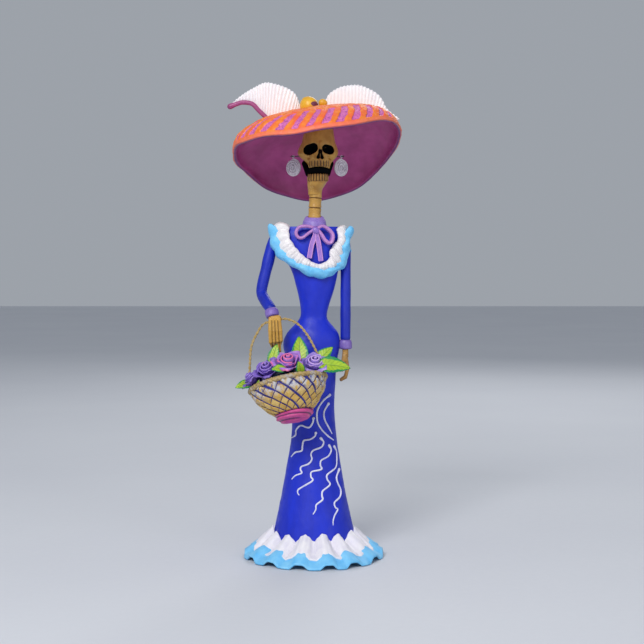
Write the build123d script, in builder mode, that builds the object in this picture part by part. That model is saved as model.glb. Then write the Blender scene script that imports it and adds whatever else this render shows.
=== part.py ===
"""Papier-mache catrina figure: a slender lady with a wide feathered hat and a basket of roses.

Millimetres, +Z up. The origin is the centre of the base plate's underside, on the spine wire's
axis. The figure looks towards -Y, and +X is the side of its free arm.
"""
import math
import os

from build123d import *

os.makedirs("parts", exist_ok=True)

# ---------------------------------------------------------------- driving dimensions
PAPER = 2.5                     # papier-mache wall
SPINE_R = 1.5                   # steel spine wire
ARM_WIRE_R = 0.8                # wire inside both arms
BASE_R = 33.0
BASE_T = 3.0
WAIST_Z = 201.0
SHOULDER_Z = 278.0
NECK_R = 5.2
NECK_TOP = 309.0                # where the jaw is modelled onto the neck
SKULL_BASE = 326.5
SKULL_X = 3.3                   # the head leans a little towards +X

HEM_R = 59.0                    # hem ruffle, at the floor
HEM_TOP = 20.0
PLEATS = 14

HAT_CENTRE = (3.9, 6.0, 338.2)
HAT_TILT = 20.2                 # leans back, front edge up
HAT_ROLL = 8.2                  # +X edge up
HAT_R = 71.2
HAT_RISE = 34.0                 # crown above the mean brim
HAT_SADDLE = 10.5               # brim up at the sides, down at front and back
HAT_T = 3.0

BASKET_CENTRE = (-20.5, -47.5, 148.6)   # centre of the basket's rim
BASKET_TIP = 16.6               # front of the rim up
BASKET_ROLL = 12.75
BASKET_R = 31.8
BASKET_FOOT_R = 14.8
BASKET_DEPTH = 22.5
HANDLE_R = 1.1
HANDLE_TOP = 57.8               # handle above the rim
HANDLE_STRAIGHT = 9.0           # up to this height the handle stands square on the rim
HANDLE_LEAN = 0.214             # above that it leans back, by this much for each mm up
HINGE_CLEARANCE = 0.1           # radial, around the handle in the hand

EAR_WIRE_R = 0.42
EAR_EYE_R = 0.5


def turned_plane(origin, tilt, roll):
    """A level plane rolled about Y and tilted back about its own X axis."""
    t, r = math.radians(tilt), math.radians(roll)
    across = (math.cos(r), 0, math.sin(r))
    up = (-math.sin(r) * math.cos(t), math.sin(t), math.cos(r) * math.cos(t))
    return Plane(origin=origin, x_dir=across, z_dir=up)


def finish(builder, label):
    """Label a finished piece and write it."""
    builder.part.label = label
    export_step(builder.part, f"parts/{label}.step")


def keep_largest(shape):
    """The largest solid of a trimmed shape."""
    return shape.solids().sort_by(SortBy.VOLUME)[-1]


# ---------------------------------------------------------------- armature
with BuildPart() as base_plate:
    with BuildSketch():
        Circle(BASE_R)
    extrude(amount=BASE_T)
finish(base_plate, "base_plate")

with BuildPart() as spine_wire:
    with BuildSketch(Plane.XY.offset(BASE_T)):
        Circle(SPINE_R)
    extrude(amount=SKULL_BASE + 16 - BASE_T)
finish(spine_wire, "spine_wire")

LEFT_WRIST = (-34.8, -19.6, 207.0)
LEFT_ELBOW = (-44.2, 0.0, 224.0)
RIGHT_WRIST = (26.4, -1.0, 181.0)
with BuildPart() as arm_wire:
    with BuildLine() as arm_wire_path:
        FilletPolyline(
            (-33.8, -21.6, 203.0), LEFT_WRIST, LEFT_ELBOW, (-34.6, 2.4, 266.0),
            (26.6, 2.4, 269.0), RIGHT_WRIST, (26.2, -1.0, 168.0), radius=5.0,
        )
    with BuildSketch(Plane(arm_wire_path.line @ 0, z_dir=arm_wire_path.line % 0)):
        Circle(ARM_WIRE_R)
    sweep()
finish(arm_wire, "arm_wire")

# ---------------------------------------------------------------- dress
# height, centre x, half width, half depth
SKIRT_STATIONS = [
    (BASE_T, -0.2, 36.4, 36.4), (20, -0.2, 34.0, 34.0), (55, -0.3, 26.8, 26.8), (94, -0.2, 19.9, 19.9),
    (125, -0.5, 17.8, 17.4), (150, -0.6, 18.6, 17.4), (165, -1.6, 21.0, 18.0), (179, -2.2, 23.9, 17.6),
    (189, -1.4, 21.4, 15.0), (WAIST_Z, -0.5, 11.6, 9.6),
]
BODICE_STATIONS = [
    (WAIST_Z, -0.5, 11.6, 9.6), (212, 0.5, 12.0, 10.0), (226, 1.3, 15.8, 11.4), (242, 0.7, 19.9, 12.8),
    (257, -2.4, 25.2, 13.6), (270, -3.6, 27.4, 12.6), (SHOULDER_Z, -3.6, 25.0, 10.0),
]


def lofted(stations, inset=0.0):
    """A smooth body through level ellipses."""
    sections = []
    for height, centre_x, half_width, half_depth in stations:
        with BuildSketch(Plane(origin=(centre_x, 0, height))) as section:
            Ellipse(half_width - inset, half_depth - inset)
        sections.append(section.sketch)
    loft(sections)


with BuildPart() as skirt_core:
    lofted(SKIRT_STATIONS[:8], inset=PAPER)

with BuildPart() as skirt_shell:
    lofted(SKIRT_STATIONS)
    add(skirt_core.part, mode=Mode.SUBTRACT)
    add(spine_wire.part, mode=Mode.SUBTRACT)
finish(skirt_shell, "skirt_shell")

with BuildPart() as bodice_form:
    lofted(BODICE_STATIONS)

with BuildPart() as bodice:
    add(bodice_form.part)
    add(spine_wire.part, mode=Mode.SUBTRACT)
    add(arm_wire.part, mode=Mode.SUBTRACT)
finish(bodice, "bodice")

# the hem: a white pleated strip laid over a wider light blue one
SKIRT_AT_HEM = 34.5
with BuildPart() as skirt_outside:
    lofted(SKIRT_STATIONS)

with BuildPart() as hem_ruffle_blue:
    with BuildSketch(Plane.XZ):
        with BuildLine():
            Polyline(
                (SKIRT_AT_HEM - 3, 15.0), (44, 10.5), (HEM_R, 3.5), (HEM_R - 1, 0), (50, 0),
                (40, 5.5), (SKIRT_AT_HEM - 3, 9.5), close=True,
            )
        make_face()
    revolve(axis=Axis.Z)
    with PolarLocations(HEM_R - 6, PLEATS):
        Cylinder(3.6, 16, rotation=(0, 90, 0), mode=Mode.SUBTRACT)
    add(skirt_outside.part, mode=Mode.SUBTRACT)
    add(base_plate.part, mode=Mode.SUBTRACT)
finish(hem_ruffle_blue, "hem_ruffle_blue")

with BuildPart() as hem_ruffle_white:
    with BuildSketch(Plane.XZ):
        with BuildLine():
            Polyline(
                (SKIRT_AT_HEM - 3, HEM_TOP + 4), (SKIRT_AT_HEM + 1, HEM_TOP + 4), (43, 15.5),
                (52.5, 9.0), (51, 7.3), (44, 10.5), (SKIRT_AT_HEM - 3, 15.0), close=True,
            )
        make_face()
    revolve(axis=Axis.Z)
    with BuildSketch(Plane.XY.offset(30)):
        with PolarLocations(54.5, PLEATS):
            RegularPolygon(6.5, 3, rotation=180)
    extrude(amount=-30, mode=Mode.SUBTRACT)
    with PolarLocations(SKIRT_AT_HEM + 3, PLEATS, start_angle=180 / PLEATS):
        with Locations((0, 0, HEM_TOP + 6)):
            Cylinder(4.2, 16, rotation=(0, 90, 0), mode=Mode.SUBTRACT)
    add(skirt_outside.part, mode=Mode.SUBTRACT)
finish(hem_ruffle_white, "hem_ruffle_white")

# ---------------------------------------------------------------- sleeves, cuffs
SLEEVE_R = 4.1


def tube_along(points, radius, tube_radius):
    """A round tube along straight runs joined by arcs."""
    with BuildLine() as path:
        FilletPolyline(*points, radius=radius)
    with BuildSketch(Plane(path.line @ 0, z_dir=path.line % 0)) as section:
        Circle(tube_radius)
    sweep(section.sketch, path=path.line)


with BuildPart() as sleeve_left:
    tube_along([(-22, 2.0, 272), (-34.6, 2.4, 266), LEFT_ELBOW, (-35.8, -17.6, 209.4)], 6.0, SLEEVE_R)
    add(bodice_form.part, mode=Mode.SUBTRACT)
    add(arm_wire.part, mode=Mode.SUBTRACT)
finish(sleeve_left, "sleeve_left")

with BuildPart() as sleeve_right:
    tube_along([(14, 2.2, 272), (26.6, 2.4, 269), (26.4, -1.0, 184)], 6.0, SLEEVE_R)
    add(bodice_form.part, mode=Mode.SUBTRACT)
    add(skirt_outside.part, mode=Mode.SUBTRACT)
    add(arm_wire.part, mode=Mode.SUBTRACT)
finish(sleeve_right, "sleeve_right")


def cuff(start, end, radius, sleeve):
    """A short padded band around a sleeve's end."""
    axis = Vector(*end) - Vector(*start)
    with BuildSketch(Plane(origin=start, z_dir=axis)) as section:
        Circle(radius)
    extrude(section.sketch, amount=axis.length)
    fillet(edges().filter_by(GeomType.CIRCLE), 2.0)
    add(sleeve.part, mode=Mode.SUBTRACT)
    add(arm_wire.part, mode=Mode.SUBTRACT)


with BuildPart() as cuff_left:
    cuff((-35.3, -18.6, 209.2), (-33.8, -21.4, 203.2), 5.6, sleeve_left)
finish(cuff_left, "cuff_left")

with BuildPart() as cuff_right:
    cuff((26.4, -1.0, 184.5), (26.4, -1.0, 175.5), 5.4, sleeve_right)
    add(skirt_outside.part, mode=Mode.SUBTRACT)
finish(cuff_right, "cuff_right")

# ---------------------------------------------------------------- collar ruffle
# level ellipses that pass over the shoulders; the ruffle is cut from them as seen from the front
COLLAR_STATIONS = [
    (230, 0.0, 22.0, 18.5), (245, -2.0, 31.0, 20.0), (258, -3.0, 34.8, 19.8), (270, -3.3, 35.6, 18.4),
    (277, -3.4, 34.2, 16.5), (281, -3.4, 31.5, 14.5), (284.5, -3.4, 27.0, 11.0),
]
COLLAR_OUTER = [
    (-42, 290), (-42, 262), (-35.4, 257), (-28.0, 249.0), (-17.7, 243.8), (-8, 239.5), (0, 236),
    (11, 235), (19, 239), (26, 245), (30.8, 256), (40, 262), (40, 290),
]
COLLAR_MIDDLE = [
    (-31, 290), (-31, 270), (-28, 260), (-20, 252.5), (-9, 247.0), (2, 243.0), (8, 242.0), (14, 244.0),
    (20, 250), (25, 262), (27, 274), (27, 290),
]
COLLAR_INNER = [
    (-21.9, 290), (-21.9, 271), (-18.5, 263.5), (-12, 256.5), (-2, 249.5), (5.5, 247.2), (12.6, 251.0),
    (15, 258), (18, 268), (19.5, 274), (16, 278), (16, 290),
]

with BuildPart() as collar_form:
    lofted(COLLAR_STATIONS)


def front_cut(outline):
    """Everything inside an outline seen from the front."""
    with BuildSketch(Plane.XZ) as window:
        with BuildLine():
            Polyline(*outline, close=True)
        make_face()
    extrude(window.sketch, amount=40, both=True, mode=Mode.INTERSECT)


def collar_part(outline, inside, builder):
    """One strip of the collar, around what is inside it, clear of the dress and arms."""
    add(collar_form.part)
    front_cut(outline)
    for other in (inside, bodice_form, sleeve_left, sleeve_right):
        add(other.part, mode=Mode.SUBTRACT)
    add(keep_largest(builder.part), mode=Mode.REPLACE)


with BuildPart() as inside_blue:
    add(collar_form.part)
    front_cut(COLLAR_MIDDLE)

with BuildPart() as inside_white:
    add(collar_form.part)
    front_cut(COLLAR_INNER)

with BuildPart() as collar_ruffle_blue:
    collar_part(COLLAR_OUTER, inside_blue, collar_ruffle_blue)
finish(collar_ruffle_blue, "collar_ruffle_blue")

with BuildPart() as collar_ruffle_white:
    collar_part(COLLAR_MIDDLE, inside_white, collar_ruffle_white)
finish(collar_ruffle_white, "collar_ruffle_white")

# ---------------------------------------------------------------- neck, band and bow
with BuildPart() as neck:
    with BuildSketch(Plane.XY.offset(SHOULDER_Z)):
        Circle(NECK_R)
    extrude(amount=NECK_TOP - SHOULDER_Z)
    with BuildSketch(Plane.XY.offset(NECK_TOP)):
        Circle(3.8)
    extrude(amount=SKULL_BASE - NECK_TOP)
    add(spine_wire.part, mode=Mode.SUBTRACT)
finish(neck, "neck")

with BuildPart() as neck_band:
    with BuildSketch(Plane.XZ):
        with BuildLine():
            Line((NECK_R, SHOULDER_Z), (10.4, SHOULDER_Z))
            ThreePointArc((10.4, SHOULDER_Z), (9.6, 283.5), (7.4, 287.8))
            Line((7.4, 287.8), (NECK_R, 287.8))
            Line((NECK_R, 287.8), (NECK_R, SHOULDER_Z))
        make_face()
    revolve(axis=Axis.Z)
finish(neck_band, "neck_band")

BOW_Y = -13.6
BOW_CORD = 3.6
BOW_PLANE = Plane(origin=(0, BOW_Y, 0), x_dir=(1, 0, 0), z_dir=(0, -1, 0))
KNOT = (0.3, 275.0)

with BuildPart() as bow_knot:
    with Locations((KNOT[0], BOW_Y - 2.0, KNOT[1])):
        Sphere(3.1)
    add(bodice_form.part, mode=Mode.SUBTRACT)
finish(bow_knot, "bow_knot")


def bow_strip(points, closed):
    """A ribbon seen from the front: a closed loop or an open tail."""
    with BuildSketch(BOW_PLANE) as ribbon:
        with BuildLine():
            if closed:
                FilletPolyline(*points, radius=2.4, close=True)
            else:
                Polyline(*points)
        if closed:
            make_face()
            offset(amount=-BOW_CORD, mode=Mode.SUBTRACT, kind=Kind.INTERSECTION)
        else:
            trace(line_width=BOW_CORD)
    extrude(ribbon.sketch, amount=BOW_CORD)
    for other in bow_neighbours:
        add(other.part, mode=Mode.SUBTRACT)


bow_neighbours = [bow_knot, bodice_form, collar_ruffle_white]
LOOP_LEFT = [(-0.5, 277.8), (-11.0, 278.5), (-17.4, 272.0), (-12.5, 264.8), (-0.5, 272.5)]
LOOP_RIGHT = [(1.5, 272.0), (11.5, 260.0), (18.2, 265.0), (17.0, 273.0), (6.5, 279.5), (1.5, 277.5)]

with BuildPart() as bow_loop_left:
    bow_strip(LOOP_LEFT, True)
finish(bow_loop_left, "bow_loop_left")

with BuildPart() as bow_loop_right:
    bow_strip(LOOP_RIGHT, True)
finish(bow_loop_right, "bow_loop_right")

bow_neighbours += [bow_loop_left, bow_loop_right]
with BuildPart() as bow_tail_left:
    bow_strip([(-0.8, 273.5), (-2.6, 262.0), (-5.0, 250.5)], False)
finish(bow_tail_left, "bow_tail_left")

with BuildPart() as bow_tail_right:
    bow_strip([(3.0, 270.6), (4.6, 260.0), (6.0, 250.0)], False)
finish(bow_tail_right, "bow_tail_right")

# ---------------------------------------------------------------- hat
HAT_PLANE = turned_plane(HAT_CENTRE, HAT_TILT, HAT_ROLL)


def hat_height(x, y):
    """Crown height above the mean brim plane: a bowl with a saddle-shaped brim."""
    reach = (x * x + y * y) / HAT_R ** 2
    return HAT_RISE * (1 - reach ** 2) + HAT_SADDLE * (x * x - y * y) / HAT_R ** 2


HAT_GRID = [HAT_R * step / 8 for step in range(-8, 9)]
hat_top = Face.make_surface_from_array_of_points(
    [[HAT_PLANE.from_local_coords(Vector(x, y, hat_height(x, y))) for y in HAT_GRID] for x in HAT_GRID]
)
HAT_DOWN = -HAT_PLANE.z_dir


def hat_slab(depth):
    """The hat's round, from its top surface down by a depth."""
    extrude(hat_top, amount=depth, dir=HAT_DOWN)
    with BuildSketch(HAT_PLANE.offset(-150)) as brim:
        Circle(HAT_R)
    extrude(brim.sketch, amount=300, mode=Mode.INTERSECT)


with BuildPart() as hat_shell:
    hat_slab(HAT_T)
finish(hat_shell, "hat_shell")

with BuildPart() as under_hat_top:
    hat_slab(60)

# ---------------------------------------------------------------- skull, jaw, ear wires
# height, centre x, centre y, half width, half depth
SKULL_STATIONS = [
    (SKULL_BASE, SKULL_X - 0.3, -3.5, 9.8, 8.5), (331, SKULL_X - 0.2, -1.5, 12.4, 11.5),
    (339, SKULL_X, 0, 16.2, 14.0), (348, SKULL_X + 0.4, 1, 15.2, 15.0),
    (356, SKULL_X + 0.8, 1.5, 13.4, 14.0), (364, SKULL_X + 1.2, 2, 11.0, 11.5),
    (374, SKULL_X + 1.6, 2, 6.0, 6.5),
]
EYES = [(-3.4, -16.0, 342.0), (11.8, -15.2, 341.5)]
NOSE = (4.8, -14.5, 337.0)


def tapered(stations):
    """A smooth body through level ellipses with their own centres."""
    sections = []
    for height, centre_x, centre_y, half_width, half_depth in stations:
        with BuildSketch(Plane(origin=(centre_x, centre_y, height))) as section:
            Ellipse(half_width, half_depth)
        sections.append(section.sketch)
    loft(sections)


with BuildPart() as above_hat_lining:
    extrude(hat_top, amount=-80, dir=HAT_DOWN)
    add(hat_shell.part)

with BuildPart() as skull:
    tapered(SKULL_STATIONS)
    with Locations(*EYES):
        Sphere(5.0, mode=Mode.SUBTRACT)
    with Locations(NOSE):
        Cone(2.6, 0.6, 7.0, mode=Mode.SUBTRACT)
    add(above_hat_lining.part, mode=Mode.SUBTRACT)
    add(spine_wire.part, mode=Mode.SUBTRACT)
    add(keep_largest(skull.part), mode=Mode.REPLACE)
finish(skull, "skull")

JAW_STATIONS = [
    (NECK_TOP, 0.8, -0.6, 6.4, 6.2), (314.5, 2.2, -2.8, 7.4, 7.6), (320, 3.0, -4.4, 8.4, 8.4),
]
with BuildPart() as jaw:
    tapered(JAW_STATIONS)
    with BuildSketch(Plane.XY.offset(316)) as mouth:
        with Locations((3.0, -3.2)):
            Ellipse(6.2, 5.6)
    extrude(amount=10, mode=Mode.SUBTRACT)
    with Locations((-4.6, 0.4, 320.7), (10.4, 0.4, 320.7)):
        Box(2.2, 4.2, 11.5)
    add(neck.part, mode=Mode.SUBTRACT)
    add(spine_wire.part, mode=Mode.SUBTRACT)
    add(skull.part, mode=Mode.SUBTRACT)
finish(jaw, "jaw")

EAR_Z = 336.6
EAR_Y = -1.0
# side: x inside the skull, x of the swinging eye, turn of the disc towards that side
EARS = {"left": (-9.0, -17.4, -32.0), "right": (15.0, 23.0, 38.0)}
EYE_WIDTH = 1.2
DISC_R = 7.2
DISC_T = 1.5
DISC_DROP = 8.4

for side, (root_x, eye_x, turn) in EARS.items():
    reach = math.copysign(1.0, eye_x - root_x)
    with BuildPart() as ear_wire:
        with BuildSketch(Plane(origin=(root_x, EAR_Y, EAR_Z), z_dir=(reach, 0, 0))):
            Circle(EAR_WIRE_R)
        extrude(amount=abs(eye_x - root_x) + 1.6)
        with Locations((eye_x + reach * 1.6, EAR_Y, EAR_Z)):
            Sphere(0.8)
        add(skull.part, mode=Mode.SUBTRACT)
        add(keep_largest(ear_wire.part), mode=Mode.REPLACE)
    finish(ear_wire, f"ear_wire_{side}")

    with BuildPart() as earring:
        with BuildSketch(Plane(origin=(eye_x - EYE_WIDTH / 2, EAR_Y, EAR_Z), z_dir=(1, 0, 0))):
            Circle(1.4)
        extrude(amount=EYE_WIDTH)
        facing = (math.sin(math.radians(turn)), -math.cos(math.radians(turn)), 0)
        disc_plane = Plane(origin=(eye_x, EAR_Y, EAR_Z - DISC_DROP), z_dir=facing)
        with BuildSketch(disc_plane.offset(-DISC_T / 2)):
            Circle(DISC_R)
        extrude(amount=DISC_T)
        with BuildSketch(Plane(origin=(eye_x, EAR_Y, EAR_Z), z_dir=(1, 0, 0))):
            Circle(EAR_EYE_R)
        extrude(amount=EYE_WIDTH, both=True, mode=Mode.SUBTRACT)
    finish(earring, f"earring_{side}")

# ---------------------------------------------------------------- plumes and crown ornaments
def crown_piece(outline, depth_y, lean, thickness):
    """A leaf-shaped plate standing on the crown, given as seen from the front."""
    plane = Plane(origin=(0, depth_y, 370), x_dir=(1, 0, 0), z_dir=(0, -1, 0)).rotated((lean, 0, 0))
    with BuildSketch(plane) as leaf:
        with BuildLine():
            Spline(*outline)
            Line(outline[-1], outline[0])
        make_face()
    extrude(leaf.sketch, amount=thickness / 2, both=True)
    add(under_hat_top.part, mode=Mode.SUBTRACT)


PLUME_LEFT = [
    (-38, -2), (-55, 6), (-69.5, 12), (-60, 20), (-51, 26), (-41, 31.5), (-27, 29), (-15, 20), (-11, 4),
]
PLUME_RIGHT = [(8, 6), (13, 22), (22, 28), (37, 30), (52, 26), (60, 14), (71, 4), (66, -3)]
with BuildPart() as plume_left:
    crown_piece(PLUME_LEFT, -8.0, 0.0, 4.0)
    add(keep_largest(plume_left.part), mode=Mode.REPLACE)
finish(plume_left, "plume_left")

with BuildPart() as plume_right:
    crown_piece(PLUME_RIGHT, 2.0, 0.0, 4.0)
    add(keep_largest(plume_right.part), mode=Mode.REPLACE)
finish(plume_right, "plume_right")

with BuildPart() as plume_left_quill:
    tube_along(
        [(-69.5, -10.5, 380), (-60, -12, 384.0), (-50, -12.5, 379.0), (-38, -13, 366.0)], 5.0, 1.9,
    )
    add(under_hat_top.part, mode=Mode.SUBTRACT)
    add(plume_left.part, mode=Mode.SUBTRACT)
    add(keep_largest(plume_left_quill.part), mode=Mode.REPLACE)
finish(plume_left_quill, "plume_left_quill")

CROWN_BALLS = {"crown_ball": (-4.0, -16.0, 377.5, 7.6), "crown_bead": (7.2, -17.5, 379.6, 3.4)}
crown_pieces = [under_hat_top.part, plume_left.part, plume_right.part]
for name, (x, y, z, radius) in CROWN_BALLS.items():
    with BuildPart() as ball:
        with Locations((x, y, z)):
            Sphere(radius)
        for other in crown_pieces:
            add(other, mode=Mode.SUBTRACT)
    crown_pieces.append(ball.part)
    finish(ball, name)

# ---------------------------------------------------------------- basket
BASKET_PLANE = turned_plane(BASKET_CENTRE, BASKET_TIP, BASKET_ROLL)
# profiles of the basket are drawn as (distance from its axis, height above its rim)
BASKET_SECTION = Plane(BASKET_PLANE.origin, x_dir=BASKET_PLANE.x_dir, z_dir=-BASKET_PLANE.y_dir)
BASKET_AXIS = Axis(BASKET_PLANE.origin, BASKET_PLANE.z_dir)
BASKET_WALL = 1.6
WEAVE_T = 1.2
INNER_R = BASKET_R - WEAVE_T
WALL_MIDDLE = (25.0, -11.5)


def bowl_profile(growth):
    """The bowl's outside, from the foot up to the rim, grown by a thickness."""
    return [
        (BASKET_FOOT_R + growth - 0.6, -BASKET_DEPTH), (WALL_MIDDLE[0] + growth, WALL_MIDDLE[1]),
        (INNER_R + growth, 0),
    ]


def shell_section(outer, inner, floor):
    """Half section between two bowl profiles, closed by a floor."""
    with BuildSketch(BASKET_SECTION) as section:
        with BuildLine():
            ThreePointArc(*outer)
            Line(outer[2], inner[2])
            ThreePointArc(*inner)
            if floor:
                Polyline(inner[0], (0, inner[0][1]), (0, outer[0][1]), outer[0])
            else:
                Line(inner[0], outer[0])
        make_face()
    revolve(section.sketch, axis=BASKET_AXIS)


bowl_outside = bowl_profile(0)
bowl_inside = [
    (BASKET_FOOT_R - 2.0, -BASKET_DEPTH + BASKET_WALL), (WALL_MIDDLE[0] - BASKET_WALL, WALL_MIDDLE[1] + 0.6),
    (INNER_R - BASKET_WALL, 0),
]
with BuildPart() as basket_bowl:
    shell_section(bowl_outside, bowl_inside, True)
finish(basket_bowl, "basket_bowl")

with BuildPart() as basket_weave:
    shell_section(bowl_profile(WEAVE_T), bowl_outside, False)
finish(basket_weave, "basket_weave")

with BuildPart() as basket_foot:
    with BuildSketch(BASKET_SECTION):
        with BuildLine():
            Polyline(
                (0, -BASKET_DEPTH), (BASKET_FOOT_R, -BASKET_DEPTH), (BASKET_FOOT_R - 1.4, -BASKET_DEPTH - 3),
                (BASKET_FOOT_R - 6.3, -BASKET_DEPTH - 6.3), (0, -BASKET_DEPTH - 7), close=True,
            )
        make_face()
    revolve(axis=BASKET_AXIS)
finish(basket_foot, "basket_foot")

BRAID_MIDDLE = BASKET_R - 1.2
BRAID_TOP = 3.2
with BuildPart() as basket_rim_braid:
    with BuildSketch(BASKET_SECTION):
        with BuildLine():
            Polyline(
                (BRAID_MIDDLE - 1.4, 0), (BRAID_MIDDLE + 1.4, 0), (BRAID_MIDDLE + 2.0, 1.5),
                (BRAID_MIDDLE + 1.3, BRAID_TOP), (BRAID_MIDDLE - 1.3, BRAID_TOP),
                (BRAID_MIDDLE - 2.0, 1.5), close=True,
            )
        make_face()
    revolve(axis=BASKET_AXIS)
finish(basket_rim_braid, "basket_rim_braid")

with BuildPart() as basket_filler:
    with BuildSketch(BASKET_SECTION):
        with BuildLine():
            ThreePointArc((11.0, -20.0), (21.8, -10.6), (27.2, -1.5))
            ThreePointArc((27.2, -1.5), (20, 6.0), (6, 11.5))
            Polyline((6, 11.5), (0, 11.5), (0, -20.0), (11.0, -20.0))
        make_face()
    revolve(axis=BASKET_AXIS)
finish(basket_filler, "basket_filler")

# the handle: a twisted wire arch whose level top runs through the hand
HANDLE_ROUTE = [                # across and above the rim
    (-BRAID_MIDDLE, BRAID_TOP), (-BRAID_MIDDLE, HANDLE_STRAIGHT), (-27.2, 25), (-23.3, 40), (-16.5, 50.5),
    (-9.5, HANDLE_TOP), (9.0, HANDLE_TOP), (17.5, 51), (23.4, 40), (27.6, 25),
    (BRAID_MIDDLE, HANDLE_STRAIGHT), (BRAID_MIDDLE, BRAID_TOP),
]


def on_handle(across, height):
    """The point of the handle's leaning arch at a place across and above the rim."""
    back = HANDLE_LEAN * max(0.0, height - HANDLE_STRAIGHT)
    return BASKET_PLANE.from_local_coords(Vector(across, back, height))


with BuildPart() as basket_handle:
    handle_points = [on_handle(across, height) for across, height in HANDLE_ROUTE]
    tube_along(handle_points, 8.0, HANDLE_R)
finish(basket_handle, "basket_handle")

# ---------------------------------------------------------------- roses and leaves
# place across, towards the back, and above the rim; radius
ROSES = {
    "rose_pink": (4.5, -17.0, 16.5, 9.4), "rose_lilac": (25.0, -11.0, 11.4, 9.2),
    "rose_orange": (-13.5, -13.0, 15.0, 7.9), "rose_violet": (-27.5, -7.5, 10.2, 7.3),
    "rose_back_left": (-12.0, 12.0, 13.0, 8.6), "rose_back_right": (11.0, 11.5, 13.0, 8.6),
}
basket_fixed = [basket_filler.part, basket_rim_braid.part, basket_handle.part]
for name, (x, y, height, radius) in ROSES.items():
    with BuildPart() as rose:
        centre = BASKET_PLANE.from_local_coords(Vector(x, y, height))
        with Locations(Plane(centre, x_dir=BASKET_PLANE.z_dir, z_dir=BASKET_PLANE.y_dir)):
            Sphere(radius)
        for other in basket_fixed:
            add(other, mode=Mode.SUBTRACT)
        add(keep_largest(rose.part), mode=Mode.REPLACE)
    basket_fixed.append(rose.part)
    finish(rose, name)

LEAF_T = 1.0
# root and tip in the basket's frame, half width of the blade
LEAVES = {
    "leaf_front_right": ((24.0, -11.0, 8.0), (52.0, -9.0, 0.5), 7.0),
    "leaf_right": ((20.0, 6.0, 0.0), (41.6, 8.0, 24.0), 5.8),
    "leaf_top": ((13.5, 2.0, 8.0), (16.9, 4.0, 39.6), 7.0),
    "leaf_hand": ((-10.0, -8.0, 17.0), (-1.5, -6.0, 34.0), 4.6),
    "leaf_far_left": ((-27.0, -7.0, 7.0), (-41.0, -14.0, 5.5), 4.4),
    "leaf_low_left": ((1.0, -19.0, 11.0), (-9.5, -24.0, 10.0), 4.0),
    "leaf_low_middle": ((10.0, -19.0, 12.0), (16.0, -23.5, 6.0), 3.2),
    "leaf_back_left": ((-16.0, 16.0, 9.0), (-31.0, 25.0, 15.0), 6.0),
    "leaf_back_middle": ((12.0, 16.0, 9.0), (4.0, 24.0, 18.0), 5.0),
}
for name, (root, tip, half_width) in LEAVES.items():
    start = BASKET_PLANE.from_local_coords(Vector(*root))
    end = BASKET_PLANE.from_local_coords(Vector(*tip))
    along = end - start
    facing = Vector(0, -1, 0.35)
    blade_plane = Plane(origin=start, x_dir=along, z_dir=along.cross(facing).cross(along))
    with BuildPart() as leaf:
        with BuildSketch(blade_plane):
            with BuildLine():
                ThreePointArc((0, 0), (along.length / 2, half_width), (along.length, 0))
                ThreePointArc((along.length, 0), (along.length / 2, -half_width), (0, 0))
            make_face()
        extrude(amount=LEAF_T / 2, both=True)
        for other in basket_fixed:
            add(other, mode=Mode.SUBTRACT)
        add(keep_largest(leaf.part), mode=Mode.REPLACE)
    basket_fixed.append(leaf.part)
    finish(leaf, name)

# ---------------------------------------------------------------- hands
GRIP_ACROSS = -0.23             # where the hand holds the handle, across the basket
GRIP = on_handle(GRIP_ACROSS, HANDLE_TOP)
FINGER_R = 1.45
FINGER_PITCH = 2.5


def finger(points):
    """A round-ended finger."""
    tube_along(points, 1.5, FINGER_R)
    with Locations(points[0], points[-1]):
        Sphere(FINGER_R)


with BuildPart() as hand_left:
    with Locations(Plane(GRIP, x_dir=BASKET_PLANE.x_dir, z_dir=(0.0, 0.1, 1.0))):
        Box(10.4, 7.6, 9.0)
    fillet(edges(), 2.2)
    for place in range(4):
        shift = (place - 1.5) * FINGER_PITCH
        knuckle = GRIP + Vector(shift, -1.8, -1.0)
        bend = GRIP + Vector(shift * 1.05 + 0.6, -2.8, -17.5)
        finger([knuckle, bend, GRIP + Vector(shift + 0.9, 1.6, -22.0)])
    with BuildSketch(Plane(GRIP, z_dir=BASKET_PLANE.x_dir)):
        Circle(HANDLE_R + HINGE_CLEARANCE)
    extrude(amount=20, both=True, mode=Mode.SUBTRACT)
    for other in (cuff_left, sleeve_left, arm_wire):
        add(other.part, mode=Mode.SUBTRACT)
    add(keep_largest(hand_left.part), mode=Mode.REPLACE)
finish(hand_left, "hand_left")

with BuildPart() as hand_right:
    with Locations((26.4, -1.0, 171.0)):
        Box(5.2, 8.6, 10.0)
    fillet(edges(), 1.8)
    for place in range(4):
        shift = (place - 1.5) * 2.3
        side = -1.0 + shift
        finger([(26.6, side, 172), (28.6, side, 159), (26.6, side, 151.5), (22.8, side, 149.0)])
    finger([(25.2, -4.6, 171), (23.6, -6.0, 163), (23.4, -5.4, 158)])
    for other in (cuff_right, sleeve_right, arm_wire):
        add(other.part, mode=Mode.SUBTRACT)
finish(hand_right, "hand_right")
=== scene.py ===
"""Papier-mache catrina figure: the looks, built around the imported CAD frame.

Lengths here are millimetres, turned into Blender's metres where a mesh is made.
The figure looks towards -Y, and +X is the side of its free arm.
"""

import math

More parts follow.
